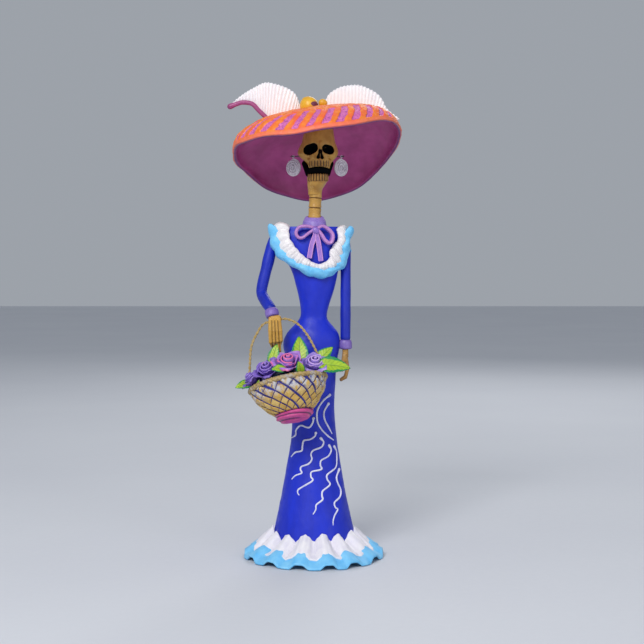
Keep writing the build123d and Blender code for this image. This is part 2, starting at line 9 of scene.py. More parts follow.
import bpy
import numpy as np
import openvdb
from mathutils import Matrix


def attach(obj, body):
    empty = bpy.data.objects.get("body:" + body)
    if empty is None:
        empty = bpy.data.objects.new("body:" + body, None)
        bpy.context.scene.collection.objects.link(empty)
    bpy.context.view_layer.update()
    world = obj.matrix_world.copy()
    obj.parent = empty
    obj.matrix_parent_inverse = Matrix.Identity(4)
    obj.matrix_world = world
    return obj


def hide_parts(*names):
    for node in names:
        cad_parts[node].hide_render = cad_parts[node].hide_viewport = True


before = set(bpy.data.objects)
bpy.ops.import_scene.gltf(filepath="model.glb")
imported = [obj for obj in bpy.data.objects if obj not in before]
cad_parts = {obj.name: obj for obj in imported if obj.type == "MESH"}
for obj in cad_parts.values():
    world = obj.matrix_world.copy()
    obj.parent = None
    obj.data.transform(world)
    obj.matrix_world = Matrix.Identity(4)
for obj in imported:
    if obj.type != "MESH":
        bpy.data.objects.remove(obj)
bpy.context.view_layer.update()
MM = 0.001


# ================================================================ points, curves and meshes
def unit(vectors):
    """Vectors scaled to length one."""
    return vectors / np.maximum(np.linalg.norm(vectors, axis=-1, keepdims=True), 1e-9)


def square_to(direction, along):
    """A direction turned to be square to others of length one."""
    return unit(direction - (direction * along).sum(-1, keepdims=True) * along)


def level(radius, angle, height, middle=0.0):
    """Points at a radius, an angle and a height round an upright axis; angle 0 is the front."""
    return np.stack(np.broadcast_arrays(middle + radius * np.sin(angle), -radius * np.cos(angle), height), -1)


def once_round(count):
    """Evenly spaced angles of one whole turn, as a row."""
    return np.linspace(0, 2 * math.pi, count, endpoint=False)[None, :]


def both_sides(front, back):
    """A front and a back sheet as one loop of columns."""
    return np.concatenate([front, back[:, ::-1]], axis=1)


def bell(value):
    """1 at zero, falling to 0 on both sides."""
    return np.exp(-value ** 2)


def lumps(points, size, seed=0):
    """Smooth seeded values from -1 to 1 at points (..., 3), with features about size across."""
    q = np.asarray(points, float) / size + 500.0 + 17.3 * seed
    cell = np.floor(q).astype(np.int64)
    f = q - cell
    f = f * f * (3 - 2 * f)
    total = 0.0
    for corner in range(8):
        step = np.array([corner & 1, corner >> 1 & 1, corner >> 2 & 1])
        key = ((cell + step) * np.array([73856093, 19349663, 83492791])).sum(-1)
        key = (key ^ (key >> 13)) * 1274126177
        value = ((key ^ (key >> 16)) & 0xFFFF) / 32767.5 - 1
        weight = np.where(step, f, 1 - f).prod(-1)
        total = total + value * weight
    return total


def curve(points, count):
    """A smooth curve through points, as count evenly parametrised points."""
    p = np.asarray(points, float)
    p = np.vstack([2 * p[0] - p[1], p, 2 * p[-1] - p[-2]])
    spans = len(p) - 3
    t = np.linspace(0, spans, count)
    i = np.minimum(t.astype(int), spans - 1)
    u = (t - i)[:, None]
    a, b, c, d = p[i], p[i + 1], p[i + 2], p[i + 3]
    squared, cubed = 2 * a - 5 * b + 4 * c - d, 3 * b - 3 * c + d - a
    return 0.5 * (2 * b + (c - a) * u + squared * u ** 2 + cubed * u ** 3)


def travelled(line):
    """How far along a line each of its points is."""
    return np.concatenate([[0], np.cumsum(np.linalg.norm(np.diff(line, axis=0), axis=1))])


def evenly(line, count):
    """A line as count points at even distances."""
    step = travelled(line)
    return np.stack([np.interp(np.linspace(0, step[-1], count), step, values) for values in line.T], -1)


def stations_at(stations, height):
    """The measures in a table of stations at a height; a station's first number is its height."""
    table = np.asarray(stations, float)
    return [np.interp(height, table[:, 0], measure) for measure in table.T[1:]]


def smooth(low, high, value):
    """0 below low, 1 above high, smooth between."""
    t = np.clip((value - low) / (high - low), 0, 1)
    return t * t * (3 - 2 * t)


class Shape:
    """Points, faces and named paint masks of a piece in the making."""

    def __init__(self):
        self.points = []
        self.faces = []
        self.masks = {}
        self.size = 0

    def add(self, points, faces, **masks):
        """More points with their faces; a mask that isn't given is 0 there."""
        points = np.asarray(points, float).reshape(-1, 3)
        for name in set(self.masks) | set(masks):
            earlier = self.masks.setdefault(name, [np.zeros(self.size)])
            value = masks.get(name, 0.0)
            earlier.append(np.broadcast_to(np.asarray(value, float).ravel(), (len(points),)))
        self.faces += [[v + self.size for v in face] for face in faces]
        self.points.append(points)
        self.size += len(points)
        return self

    def grid(self, grid, wrap_rows=False, wrap_columns=False, caps=False, **masks):
        """A sheet of points (rows, columns, 3); caps close the first and last row."""
        rows, columns = grid.shape[:2]
        index = np.arange(rows * columns).reshape(rows, columns)
        if wrap_rows:
            index = np.vstack([index, index[:1]])
        if wrap_columns:
            index = np.hstack([index, index[:, :1]])
        quads = np.stack([index[:-1, :-1], index[:-1, 1:], index[1:, 1:], index[1:, :-1]], -1)
        faces = quads.reshape(-1, 4).tolist()
        if caps:
            faces.append(list(range(columns))[::-1])
            faces.append(list(range((rows - 1) * columns, rows * columns)))
        masks = {k: np.broadcast_to(np.asarray(v, float), (rows, columns)) for k, v in masks.items()}
        return self.add(grid, faces, **masks)

    def tube(self, path, radius, sides=12, flat=1.0, up=(0, 0, 1), round_ends=True, **masks):
        """A tube along a path; radius may vary along it, flat squeezes it along its own up."""
        path = np.asarray(path, float)
        radius = np.broadcast_to(np.asarray(radius, float), (len(path),)).copy()
        if round_ends:
            path, radius, masks = rounded_ends(path, radius, masks)
        across, upward = frames(path, up)
        angle = np.arange(sides) * 2 * math.pi / sides
        ring = (np.cos(angle)[None, :, None] * across[:, None]
                + flat * np.sin(angle)[None, :, None] * upward[:, None])
        masks = {k: np.asarray(v, float)[:, None] if np.ndim(v) == 1 else v for k, v in masks.items()}
        return self.grid(path[:, None] + radius[:, None, None] * ring, wrap_columns=True, caps=True, **masks)

    def object(self, name, subdivide=0):
        """The shape as a Blender object, with its masks as attributes."""
        mesh = bpy.data.meshes.new(name)
        points = np.vstack(self.points) * MM
        mesh.from_pydata(points.tolist(), [], self.faces)
        for mask, values in self.masks.items():
            layer = mesh.attributes.new(mask, "FLOAT", "POINT")
            layer.data.foreach_set("value", np.concatenate(values).astype(np.float32))
        mesh.validate()
        mesh.shade_smooth()
        made = bpy.data.objects.new(name, mesh)
        bpy.context.scene.collection.objects.link(made)
        if subdivide:
            modifier = made.modifiers.new("smooth", "SUBSURF")
            modifier.levels = subdivide
            modifier.render_levels = subdivide
        return made


def rounded_ends(path, radius, masks):
    """A path with three more rings at each end, closing down to a point like a dome."""
    turn = np.radians([82, 55, 27])
    start = unit(path[0] - path[1])
    end = unit(path[-1] - path[-2])
    first = path[0] + radius[0] * np.sin(turn)[:, None] * start
    last = path[-1] + radius[-1] * np.sin(turn[::-1])[:, None] * end
    grown = {}
    for name, value in masks.items():
        value = np.asarray(value, float)
        grown[name] = np.concatenate([value[[0] * 3], value, value[[-1] * 3]]) if value.ndim == 1 else value
    radii = np.concatenate([radius[0] * np.cos(turn), radius, radius[-1] * np.cos(turn[::-1])])
    return np.vstack([first, path, last]), radii, grown


def frames(path, up):
    """Two directions across a path at each point, the second near to up."""
    along = unit(np.gradient(path, axis=0))
    upward = square_to(np.asarray(up, float), along)
    return np.cross(along, upward), upward


def sculpted(field, low, high, voxel):
    """A mesh of the surface where field(points) is zero, positive outside."""
    axes = [np.arange(a, b, voxel) for a, b in zip(low, high)]
    points = np.stack(np.meshgrid(*axes, indexing="ij"), -1)
    reach = 3 * voxel
    values = np.clip(field(points), -reach, reach).astype(np.float32)
    volume = openvdb.FloatGrid(reach)
    volume.copyFromArray(values)
    corners, quads = volume.convertToQuads(isovalue=0.0)
    shape = Shape()
    shape.add(corners * voxel + np.asarray(low), [quad[::-1].tolist() for quad in quads])
    return shape


# ---------------------------------------------------------------- distance fields
def ball(p, centre, radii):
    """About the distance outside an ellipsoid."""
    q = (p - np.asarray(centre, float)) / np.asarray(radii, float)
    k = np.linalg.norm(q, axis=-1)
    slope = np.linalg.norm(q / np.asarray(radii, float), axis=-1)
    return k * (k - 1) / np.maximum(slope, 1e-6)


def rod(p, a, b, ra, rb=None):
    """Distance outside a tapered round-ended rod."""
    a, b = np.asarray(a, float), np.asarray(b, float)
    along = b - a
    t = np.clip(((p - a) @ along) / (along @ along), 0, 1)
    radius = ra + ((ra if rb is None else rb) - ra) * t
    return np.linalg.norm(p - a - t[..., None] * along, axis=-1) - radius


def block(p, centre, half, round_by):
    """Distance outside a round-edged block."""
    q = np.abs(p - np.asarray(centre, float)) - np.asarray(half, float) + round_by
    return np.linalg.norm(np.maximum(q, 0), axis=-1) + np.minimum(q.max(-1), 0) - round_by


def join(a, b, soft):
    """Two fields as one body, with a soft seam."""
    h = np.clip(0.5 + 0.5 * (b - a) / soft, 0, 1)
    return b + (a - b) * h - soft * h * (1 - h)


def carve(a, b, soft):
    """Field a with b taken away."""
    return -join(-a, b, soft)


# ================================================================ paint
def linear(code):
    """A hex colour as linear RGBA."""
    parts = [int(code[i:i + 2], 16) / 255 for i in (0, 2, 4)]
    return [c / 12.92 if c <= 0.04045 else ((c + 0.055) / 1.055) ** 2.4 for c in parts] + [1.0]


class Paint:
    """A brushed coat of paint over papier-mache, built node by node."""

    def __init__(self, name, base, shade, rough=0.5, coat=0.0, stroke=(1, 1, 1), size=9.0, contrast=0.5):
        self.material = bpy.data.materials.new(name)
        self.material.use_nodes = True
        self.nodes = self.material.node_tree.nodes
        self.links = self.material.node_tree.links
        self.shader = self.nodes["Principled BSDF"]
        self.shader.inputs["Coat Weight"].default_value = coat
        self.shader.inputs["Coat Roughness"].default_value = 0.25
        self.place = self.nodes.new("ShaderNodeTexCoord").outputs["Object"]
        streaks = self.noise(size, stroke, detail=5)
        self.colour = self.mixed(self.ramped(streaks, 0.5 - contrast / 2, 0.5 + contrast / 2), shade, base)
        self.roughness(rough)

    def noise(self, size, stroke=(1, 1, 1), detail=3.0):
        """Noise with features about size millimetres across, drawn out by stroke."""
        mapping = self.nodes.new("ShaderNodeMapping")
        mapping.inputs["Scale"].default_value = [1 / (size * MM * s) for s in stroke]
        self.links.new(self.place, mapping.inputs["Vector"])
        texture = self.nodes.new("ShaderNodeTexNoise")
        texture.inputs["Scale"].default_value = 1.0
        texture.inputs["Detail"].default_value = detail
        self.links.new(mapping.outputs["Vector"], texture.inputs["Vector"])
        return texture.outputs["Fac"]

    def ramped(self, value, low, high, to_low=0.0, to_high=1.0):
        """A value's stretch from low to high as to_low to to_high."""
        node = self.nodes.new("ShaderNodeMapRange")
        numbers = {"From Min": low, "From Max": high, "To Min": to_low, "To Max": to_high}
        for socket, number in numbers.items():
            node.inputs[socket].default_value = number
        self.links.new(value, node.inputs["Value"])
        return node.outputs["Result"]

    def math(self, kind, a, b):
        node = self.nodes.new("ShaderNodeMath")
        node.operation = kind
        self.links.new(a, node.inputs[0])
        if isinstance(b, (int, float)):
            node.inputs[1].default_value = b
        else:
            self.links.new(b, node.inputs[1])
        return node.outputs["Value"]

    def mixed(self, factor, a, b, kind="MIX"):
        """Colour a turning into colour b by a factor; each is a hex colour or a socket."""
        node = self.nodes.new("ShaderNodeMix")
        node.data_type = "RGBA"
        node.blend_type = kind
        sockets = [s for s in node.inputs if s.type == "RGBA"]
        for socket, colour in zip(sockets, (a, b)):
            if isinstance(colour, str):
                socket.default_value = linear(colour)
            else:
                self.links.new(colour, socket)
        self.links.new(factor, node.inputs[0])
        return next(s for s in node.outputs if s.type == "RGBA")

    def mask(self, name):
        node = self.nodes.new("ShaderNodeAttribute")
        node.attribute_name = name
        return node.outputs["Fac"]

    def over(self, factor, colour):
        """Another colour painted over the coat by a factor."""
        self.colour = self.mixed(factor, self.colour, colour)
        return self

    def masked(self, name, colour, ragged=0.25, size=2.0):
        """Another colour where a mask is painted, with a slightly ragged brush edge."""
        edge = self.math("ADD", self.mask(name), self.ramped(self.noise(size), 0.3, 0.7, -ragged, ragged))
        return self.over(self.ramped(edge, 0.35, 0.65), colour)

    def highlight_edges(self, colour, amount=0.5, low=0.52, high=0.6):
        """Painted highlight: a lighter tone on the raised edges, where light catches them."""
        point = self.nodes.new("ShaderNodeNewGeometry").outputs["Pointiness"]
        return self.over(self.ramped(point, low, high, 0.0, amount), colour)

    def shade_in_hollows(self, colour, amount=0.6, low=0.44, high=0.5):
        """Painted shade: a darker tone in the hollows, where shade falls."""
        point = self.nodes.new("ShaderNodeNewGeometry").outputs["Pointiness"]
        return self.over(self.ramped(point, low, high, amount, 0.0), colour)

    def roughness(self, middle, spread=0.12):
        self.rough = self.ramped(self.noise(6.0), 0.3, 0.7, middle - spread, middle + spread)

    def finished(self, bump=0.35, grain=0.7, depth=0.25, stroke=(1, 1, 1)):
        """Joins the coat to the shader, with brush marks and paper grain as relief."""
        self.links.new(self.colour, self.shader.inputs["Base Color"])
        self.links.new(self.rough, self.shader.inputs["Roughness"])
        marks = self.math("ADD", self.noise(2.2, stroke, detail=4), self.noise(grain, detail=2))
        node = self.nodes.new("ShaderNodeBump")
        node.inputs["Strength"].default_value = bump
        node.inputs["Distance"].default_value = depth * MM
        self.links.new(marks, node.inputs["Height"])
        self.links.new(node.outputs["Normal"], self.shader.inputs["Normal"])
        return self.material


def place(piece, material, body="figure", nodes=()):
    """Gives a piece its paint, its body and the CAD nodes that it stands for."""
    piece.data.materials.append(material)
    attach(piece, body)
    if nodes:
        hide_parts(*nodes)
    return piece


# ================================================================ stage
def make_stage():
    """The pale floor, the sky light, three soft lamps and the camera."""
    floor_mesh = bpy.data.meshes.new("floor")
    reach = 6.0
    floor_mesh.from_pydata(
        [(-reach, -reach, 0), (reach, -reach, 0), (reach, reach, 0), (-reach, reach, 0)], [], [(0, 1, 2, 3)],
    )
    floor = bpy.data.objects.new("floor", floor_mesh)
    bpy.context.scene.collection.objects.link(floor)
    paint = Paint("floor_paint", "d9dbe0", "d4d6dc", rough=0.8, size=300.0)
    floor_mesh.materials.append(paint.finished(bump=0.02))

    world = bpy.data.worlds.new("studio")
    world.use_nodes = True
    background = world.node_tree.nodes["Background"]
    background.inputs["Color"].default_value = (0.80, 0.86, 0.95, 1)
    background.inputs["Strength"].default_value = 0.42
    bpy.context.scene.world = world

    lights = {  # place in metres, size, power in watts
        "key": ((-0.55, -1.5, 1.35), 0.7, 25.0), "fill": ((1.3, -1.3, 0.6), 1.0, 4.0),
        "back": ((0.4, 1.5, 1.2), 0.9, 7.0),
    }
    for name, (spot, size, power) in lights.items():
        lamp = bpy.data.lights.new(name, "AREA")
        lamp.size = size
        lamp.energy = power
        lit = bpy.data.objects.new(name, lamp)
        lit.location = spot
        aim = np.array([0.0, 0.0, 0.22]) - np.array(spot)
        lit.rotation_euler = look_along(aim)
        bpy.context.scene.collection.objects.link(lit)

    camera = bpy.data.cameras.new("camera")
    camera.lens = 73.1
    camera.clip_end = 50
    seen_from = bpy.data.objects.new("camera", camera)
    seen_from.location = (0.0067, -1.1, 0.25)
    seen_from.rotation_euler = look_along(np.array([0.0067, 0.0, 0.198]) - np.array(seen_from.location))
    bpy.context.scene.collection.objects.link(seen_from)
    bpy.context.scene.camera = seen_from
    bpy.context.scene.view_settings.view_transform = "Standard"


def look_along(direction):
    """Euler angles that point -Z along a direction, with Y up."""
    x, y, z = direction
    return (math.atan2(math.hypot(x, y), -z), 0.0, math.atan2(-x, y))


# ================================================================ dress
SKIRT = [  # height, middle across, half width, half depth
    (3, -0.2, 36.4, 36.4), (20, -0.2, 34, 34), (55, -0.3, 26.8, 26.8), (94, -0.2, 19.9, 19.9),
    (125, -0.5, 17.8, 17.4), (150, -0.6, 18.6, 17.4), (165, -1.6, 21, 18), (179, -2.2, 23.9, 17.6),
    (189, -1.4, 21.4, 15), (201, -0.5, 11.6, 9.6),
]
BODICE = [
    (212, 0.5, 12, 10), (226, 1.3, 15.8, 11.4), (242, 0.7, 19.9, 12.8), (257, -2.4, 25.2, 13.6),
    (270, -3.6, 27.4, 12.6), (278, -3.6, 25, 10),
]
FORM = curve(SKIRT + BODICE, 420)


def on_front(x, z, lift=0.0):
    """The point on the front of the dress seen at x and z, lifted off it."""
    x, z = np.asarray(x, float), np.asarray(z, float)
    middle, wide, deep = stations_at(FORM, z)
    share = np.clip((x - middle) / wide, -0.98, 0.98)
    y = -deep * np.sqrt(1 - share ** 2)
    out = unit(np.stack([(x - middle) / wide ** 2, y / deep ** 2], -1))
    return np.stack([x + lift * out[..., 0], y + lift * out[..., 1], z], -1)


def make_dress():
    """Skirt and bodice as one hand-smoothed skin over a stack of ellipses."""
    height, middle, wide, deep = FORM.T[..., None]
    out = level(1.0, once_round(192), 0.0)
    points = np.stack([middle, 0 * middle, height], -1) + np.stack([wide, deep, 0 * wide], -1) * out
    hand_made = 0.45 * lumps(points, 22, 1) + 0.16 * lumps(points, 6, 2) + 0.05 * lumps(points, 2, 3)
    shape = Shape().grid(points + out * hand_made[..., None], wrap_columns=True, caps=True)
    paint = Paint("dress_paint", "082cd0", "0620ae", rough=0.5, coat=0.0, stroke=(1, 1, 3), size=12)
    # painted shade: dark navy in the hollows of the dress
    paint.shade_in_hollows("040e62", 0.6)
    place(shape.object("dress_form"), paint.finished(bump=0.3, depth=0.3),
          nodes=("skirt_shell", "bodice"))


def make_squiggles():
    """The thick white slip lines trailed on the skirt."""
    lines = [
        [(13, 137.5), (7.3, 132.9), (2.8, 125.2), (2.8, 116.2), (6, 109.7), (11.1, 103.9), (16, 99.6)],
        [(11.8, 130.3), (8.3, 123.9), (8.8, 117.4), (11.8, 111), (14.7, 105.2)],
        [(-0.4, 118.7), (-1.1, 114.9), (-4.3, 111), (-10.7, 112.3), (-14.6, 108.4), (-15.2, 103.9),
         (-18.6, 100.7)],
        [(1.5, 106.5), (0.8, 103.9), (-3, 101.3), (-8.2, 100), (-9.4, 95.5), (-10.1, 91.6), (-15.2, 89.7),
         (-18.8, 85.5)],
        [(5.7, 102), (7.9, 98.7), (6, 94.8), (-0.4, 92.3), (-2.4, 89), (-1.7, 85.1), (-4.3, 81.3),
         (-10.1, 78.7), (-11, 76.1), (-10.1, 73.5), (-15.2, 70.9), (-18.2, 67.7)],
        [(12.4, 95.5), (14, 91.6), (11.8, 87.1), (6, 83.9), (5.3, 80), (6, 76.7), (-1.7, 74.8), (-2.4, 70.9),
         (-1.1, 67.7), (-8.2, 63.1), (-12.7, 59.9), (-13.3, 57.3), (-12.3, 55.6)],
        [(16.5, 94.2), (18.4, 89.7), (18.6, 82.6), (17.6, 76.7), (11.1, 72.2), (10.9, 68.3), (13.1, 63.8),
         (7.3, 59.2), (6.6, 55.3), (7, 52.1), (2.1, 48.2), (1.5, 44.3), (-0.5, 40.8)],
        [(20.6, 74.8), (18.6, 69), (19.5, 64.4), (22.1, 57.9), (21.4, 52.8), (16.9, 48.9), (17.6, 45),
         (19.5, 43), (16.9, 38.5), (15.7, 34.6), (15.7, 31.3)],
    ]
    shape = Shape()
    for number, line in enumerate(lines):
        line = curve(line, 30 * len(line))
        t = np.linspace(0, 1, len(line))
        path = on_front(line[:, 0], line[:, 1], 0.3)
        radius = 0.72 + 0.12 * lumps(path, 4, 20 + number)
        radius = radius + 0.5 * bell(t / 0.04) - 0.25 * smooth(0.85, 1.0, t)
        shape.tube(path, radius, sides=12, up=(0, -1, 0), flat=0.8)
    paint = Paint("slip_paint", "eceaf6", "cfd0ec", rough=0.38, coat=0.2, size=4)
    place(shape.object("slip_lines"), paint.finished(bump=0.2))


# ---------------------------------------------------------------- hem
HEM_MIDDLE = -0.2  # where the hem's axis is across
PLEATS = np.radians([-88, -62, -38, -12, 13, 34, 63, 89, 115, 141, 167, 193, 220, 246])
AROUND = np.linspace(-math.pi / 2, 1.5 * math.pi, 1120, endpoint=False)


def pleat(angle):
    """1 along a pleat's ridge and 0 in the valley between two."""
    knots = np.concatenate([PLEATS - 2 * math.pi, PLEATS, PLEATS + 2 * math.pi])
    order = np.arange(len(knots))
    return 0.5 + 0.5 * np.cos(2 * math.pi * np.interp(angle, knots, order))


def band(top, thickness):
    """A sheet with its underside, as a closed loop of columns; top is (rows, columns, 3)."""
    along = np.gradient(top, axis=0)
    along[0] = top[1] - top[-1]
    along[-1] = top[0] - top[-2]
    across = np.gradient(top, axis=1)
    lift = unit(np.cross(across, along)) * thickness / 2
    lip = unit(across) * thickness * 0.35
    first, last = (top - lip)[:, :1], (top + lip)[:, -1:]
    return np.concatenate([top + lift, last, (top - lift)[:, ::-1], first], axis=1)


def make_hem():
    """The white ruffle at the hem and the light blue one spread out below it."""
    angle = AROUND[:, None]
    ridge = pleat(angle) ** 0.8
    wobble = np.sin(3 * angle + 1) + 0.7 * np.sin(5 * angle + 2.2)
    crease = 0.5 + 0.5 * np.cos(angle * 56 + 3 * np.sin(3 * angle))

    t = np.linspace(0, 1, 26)[None, :]
    tips = bell((np.abs(angle) - 1.42) / 0.05)
    top = 17.2 + 6.0 * ridge + 0.9 * wobble + 5.0 * tips
    low = 5.2 + 3.6 * ridge + 0.5 * wobble
    outer = 51.2 - 2.4 * ridge + 0.5 * wobble
    inner = 33.8 + 1.0 * ridge
    radius = inner + (outer - inner) * t ** 1.05
    uneven = 0.8 * lumps(np.stack([30 * np.sin(angle), 30 * np.cos(angle), 0 * angle], -1), 7, 33)
    height = top + (low - top) * t ** 0.8 + 2.6 * (ridge - 0.25) * np.sin(math.pi * t)
    height = height + 0.6 * crease + uneven + 1.1 * t
    sheet = level(radius, angle + 0.03 * np.sin(2 * angle) * t, height, HEM_MIDDLE)
    sheet += 0.25 * lumps(sheet, 3.5, 31)[..., None]
    shape = Shape().grid(band(sheet, 1.7), wrap_rows=True, wrap_columns=True)
    paint = Paint("white_ruffle_paint", "f6f3f5", "e2deea", rough=0.55, stroke=(1, 1, 2.5), size=5)
    # painted shade: grey-violet in the hollows of the white ruffle
    paint.shade_in_hollows("a9a8c6", 0.55)
    place(shape.object("white_hem"), paint.finished(bump=0.35), nodes=("hem_ruffle_white",))

    top = 12.0 + 2.0 * ridge + 0.5 * wobble
    outer = 59.3 - 1.6 * ridge + 0.5 * np.sin(4 * angle)
    inner = 34.6
    arch = 3.6 * smooth(0.3, 0.95, ridge)
    radius = inner + (outer - inner) * t
    height = top * (1 - t ** 1.3) + 1.1 * t + arch * t ** 2 + 2.8 * (ridge - 0.1) * np.sin(math.pi * t) ** 1.2
    sheet = level(radius, angle, height, HEM_MIDDLE)
    sheet += 0.25 * lumps(sheet, 5, 32)[..., None]
    loop = band(sheet, 2.0)
    loop[..., 2] = np.maximum(loop[..., 2], 0.05)
    shape = Shape().grid(loop, wrap_rows=True, wrap_columns=True)
    paint = Paint("blue_ruffle_paint", "8fd6fb", "62bdf4", rough=0.5, stroke=(1, 1, 2), size=7)
    # painted shade: darker blue in the hollows of the blue ruffle
    paint.shade_in_hollows("3a8fd8", 0.6)
    place(shape.object("blue_hem"), paint.finished(bump=0.3), nodes=("hem_ruffle_blue",))


# ---------------------------------------------------------------- collar
CAPE = [  # the form that the collar lies on: height, middle across, half width, half depth
    (226, 0, 17, 13), (236, -0.4, 22, 14.5), (245, -1.6, 27, 16), (258, -3, 31.6, 16.5),
    (270, -3.3, 33.4, 15.6), (276, -3.4, 32, 13.6), (280, -3.4, 27, 10),
]
OUTER_EDGE = [
    (-37.9, 275.3), (-35.2, 260.7), (-28.9, 251.4), (-16.9, 244.1), (-2.4, 236.2), (12.3, 235.6), (19.2, 241),
    (25.7, 242.7), (26.2, 250.1), (30.6, 257.2), (28.3, 263), (32.6, 272.4), (29.1, 277),
]
MIDDLE_EDGE = [
    (-32.2, 275.2), (-28.7, 263), (-24.3, 255.4), (-18.6, 250.1), (-11.5, 246.8), (-4.6, 245.6), (3.4, 242.9),
    (11.1, 241.5), (16.3, 244.1), (20.9, 246.8), (21.8, 256), (24.9, 264.2), (25.9, 271.1),
]
INNER_EDGE = [
    (-20.9, 278.5), (-20.9, 270.5), (-18.3, 264.2), (-11.5, 255.8), (-2.4, 249.1), (3.4, 246.8), (8.2, 247.7),
    (13.7, 252), (13.3, 255.4), (16.9, 263), (20.6, 268.2), (19.2, 276.4),
]


def cape_edge(front):
    """An edge of the collar: down the front from one shoulder to the other, and back behind."""
    x, z = evenly(curve(front, 400), 360).T
    middle, wide, deep = stations_at(CAPE, z)
    y = deep * np.sqrt(np.clip(1 - ((x - middle) / wide) ** 2, 0.02, 1))
    whole = np.vstack([np.stack([x, -y, z], -1), np.stack([x, y, z], -1)[::-1]])
    for _ in range(12):
        whole = (np.roll(whole, 1, 0) + 2 * whole + np.roll(whole, -1, 0)) / 4
    return whole


def collar_roll(name, inside, outside, bulge, ripple, count, seed, creases=0.0):
    """A fat rippled roll of paper between two edges of the collar."""
    s = once_round(len(inside))[0]
    phase = count * s + 0.9 * np.sin(2 * s + seed) + 0.6 * np.sin(5 * s + 2 * seed)
    wave = (0.5 + 0.5 * np.cos(phase)) ** 0.7
    t = np.linspace(0, 1, 22)[None, :, None]
    centre = (inside + outside) / 2
    middle, wide, deep = stations_at(CAPE, centre[:, 2])
    sideways = unit(np.stack([(centre[:, 0] - middle) / wide ** 2, centre[:, 1] / deep ** 2, 0 * wide], -1))
    shoulder = smooth(258, 275, centre[:, 2])[:, None]
    out = unit(sideways + shoulder * [0, 0, 1.5] + [0, 0, 0.12])
    edge_in = inside - (outside - inside) * 0.06 * wave[:, None]
    edge_out = outside + (outside - inside) * (0.13 * (wave[:, None] - 0.5))
    base = edge_in[:, None] * (1 - t) + edge_out[:, None] * t
    height = (bulge + ripple * (wave[:, None, None] - 0.5)) * np.sin(math.pi * t) ** 0.62
    height = height * (1 + 0.45 * shoulder[:, None])
    over = base + out[:, None] * height
    over += out[:, None] * (creases * np.cos(3 * phase))[:, None, None]
    over += out[:, None] * (0.5 * lumps(over, 4.5, seed) + 0.2 * lumps(over, 2, seed + 1))[..., None]
    under = base - out[:, None] * 1.2
    return Shape().grid(both_sides(over, under), wrap_rows=True, wrap_columns=True).object(name)


def make_collar():
    """The white roll of the collar and the light blue one outside it."""
    inner, middle, outer = (cape_edge(edge) for edge in (INNER_EDGE, MIDDLE_EDGE, OUTER_EDGE))
    under_white = outer * 0.22 + middle * 0.78
    over_blue = middle * 0.8 + inner * 0.2
    white = collar_roll("white_collar", inner, under_white, 3.2, 1.4, 24, 41, 0.28)
    paint = Paint("white_collar_paint", "f8f5f4", "ebe5e6", rough=0.55, size=4)
    # painted shade: grey-violet in the hollows of the white roll
    paint.shade_in_hollows("b3a9bd", 0.6)
    place(white, paint.finished(bump=0.4), nodes=("collar_ruffle_white",))
    blue = collar_roll("blue_collar", over_blue, outer, 3.9, 1.5, 19, 43)
    paint = Paint("blue_collar_paint", "86d2fa", "62bdf2", rough=0.5, size=6)
    # painted shade: darker blue in the hollows of the blue roll
    paint.shade_in_hollows("2f93d6", 0.65)
    place(blue, paint.finished(bump=0.3), nodes=("collar_ruffle_blue",))


# ---------------------------------------------------------------- arms, cuffs, neck band
def make_sleeves():
    """The bent arm on the basket's side and the hanging one."""
    left = curve([(-18, 2, 272.5), (-30, 2.6, 270.5), (-35.2, 2.2, 262), (-39.5, 1, 245), (-43.4, 0, 229),
                  (-43.9, -0.8, 222), (-40.6, -8, 216), (-35.8, -17.2, 209.8)], 120)
    right = curve([(12, 2.2, 271), (21.8, 2.4, 270), (26.2, 2.2, 262), (26.6, 1.6, 240), (26.5, 0.2, 212),
                   (26.4, -1, 184.5)], 120)
    paint = Paint("sleeve_paint", "082cc8", "0620a6", rough=0.5, coat=0.0, stroke=(1, 1, 2.5), size=10)
    paint.shade_in_hollows("040e62", 0.6)
    material = paint.finished(bump=0.3, depth=0.3)
    for name, path, low, high, bend in (("left", left, 4.6, 5.0, 0.68), ("right", right, 4.3, 4.5, 0.55)):
        t = np.linspace(0, 1, len(path))
        radius = high + (low - high) * t - 0.3 * bell((t - bend) / 0.12) + 0.22 * lumps(path, 9, 51)
        shape = Shape().tube(path, radius, sides=28, up=(0, 1, 0.2))
        place(shape.object("sleeve_" + name + "_form"), material, nodes=("sleeve_" + name,))


def make_cuffs():
    """A short violet ring at the end of each sleeve."""
    paint = Paint("cuff_paint", "927ac8", "7a5fb4", rough=0.5, size=4)
    # painted shade: dark violet in the hollows of the cuffs
    paint.shade_in_hollows("47307a", 0.6)
    material = paint.finished(bump=0.35)
    ends = {"left": [(-35.6, -18.4, 209.4), (-34.9, -19.6, 206.9), (-33.9, -21.2, 203.2)],
            "right": [(26.5, -0.9, 183.2), (26.4, -1, 179), (26.4, -1, 175.4)]}
    for side, line in ends.items():
        path = curve(line, 24)
        t = np.linspace(0, 1, 24)
        radius = 4.0 + 0.6 * t + 1.4 * np.sin(math.pi * t) ** 0.4
        shape = Shape().tube(path, radius, sides=30, up=(0, -1, 0.3), round_ends=False)
        for points in shape.points:
            points += 0.22 * lumps(points, 2.6, 55)[:, None] * unit(points - path.mean(0))
        place(shape.object("cuff_" + side + "_form"), material, nodes=("cuff_" + side,))


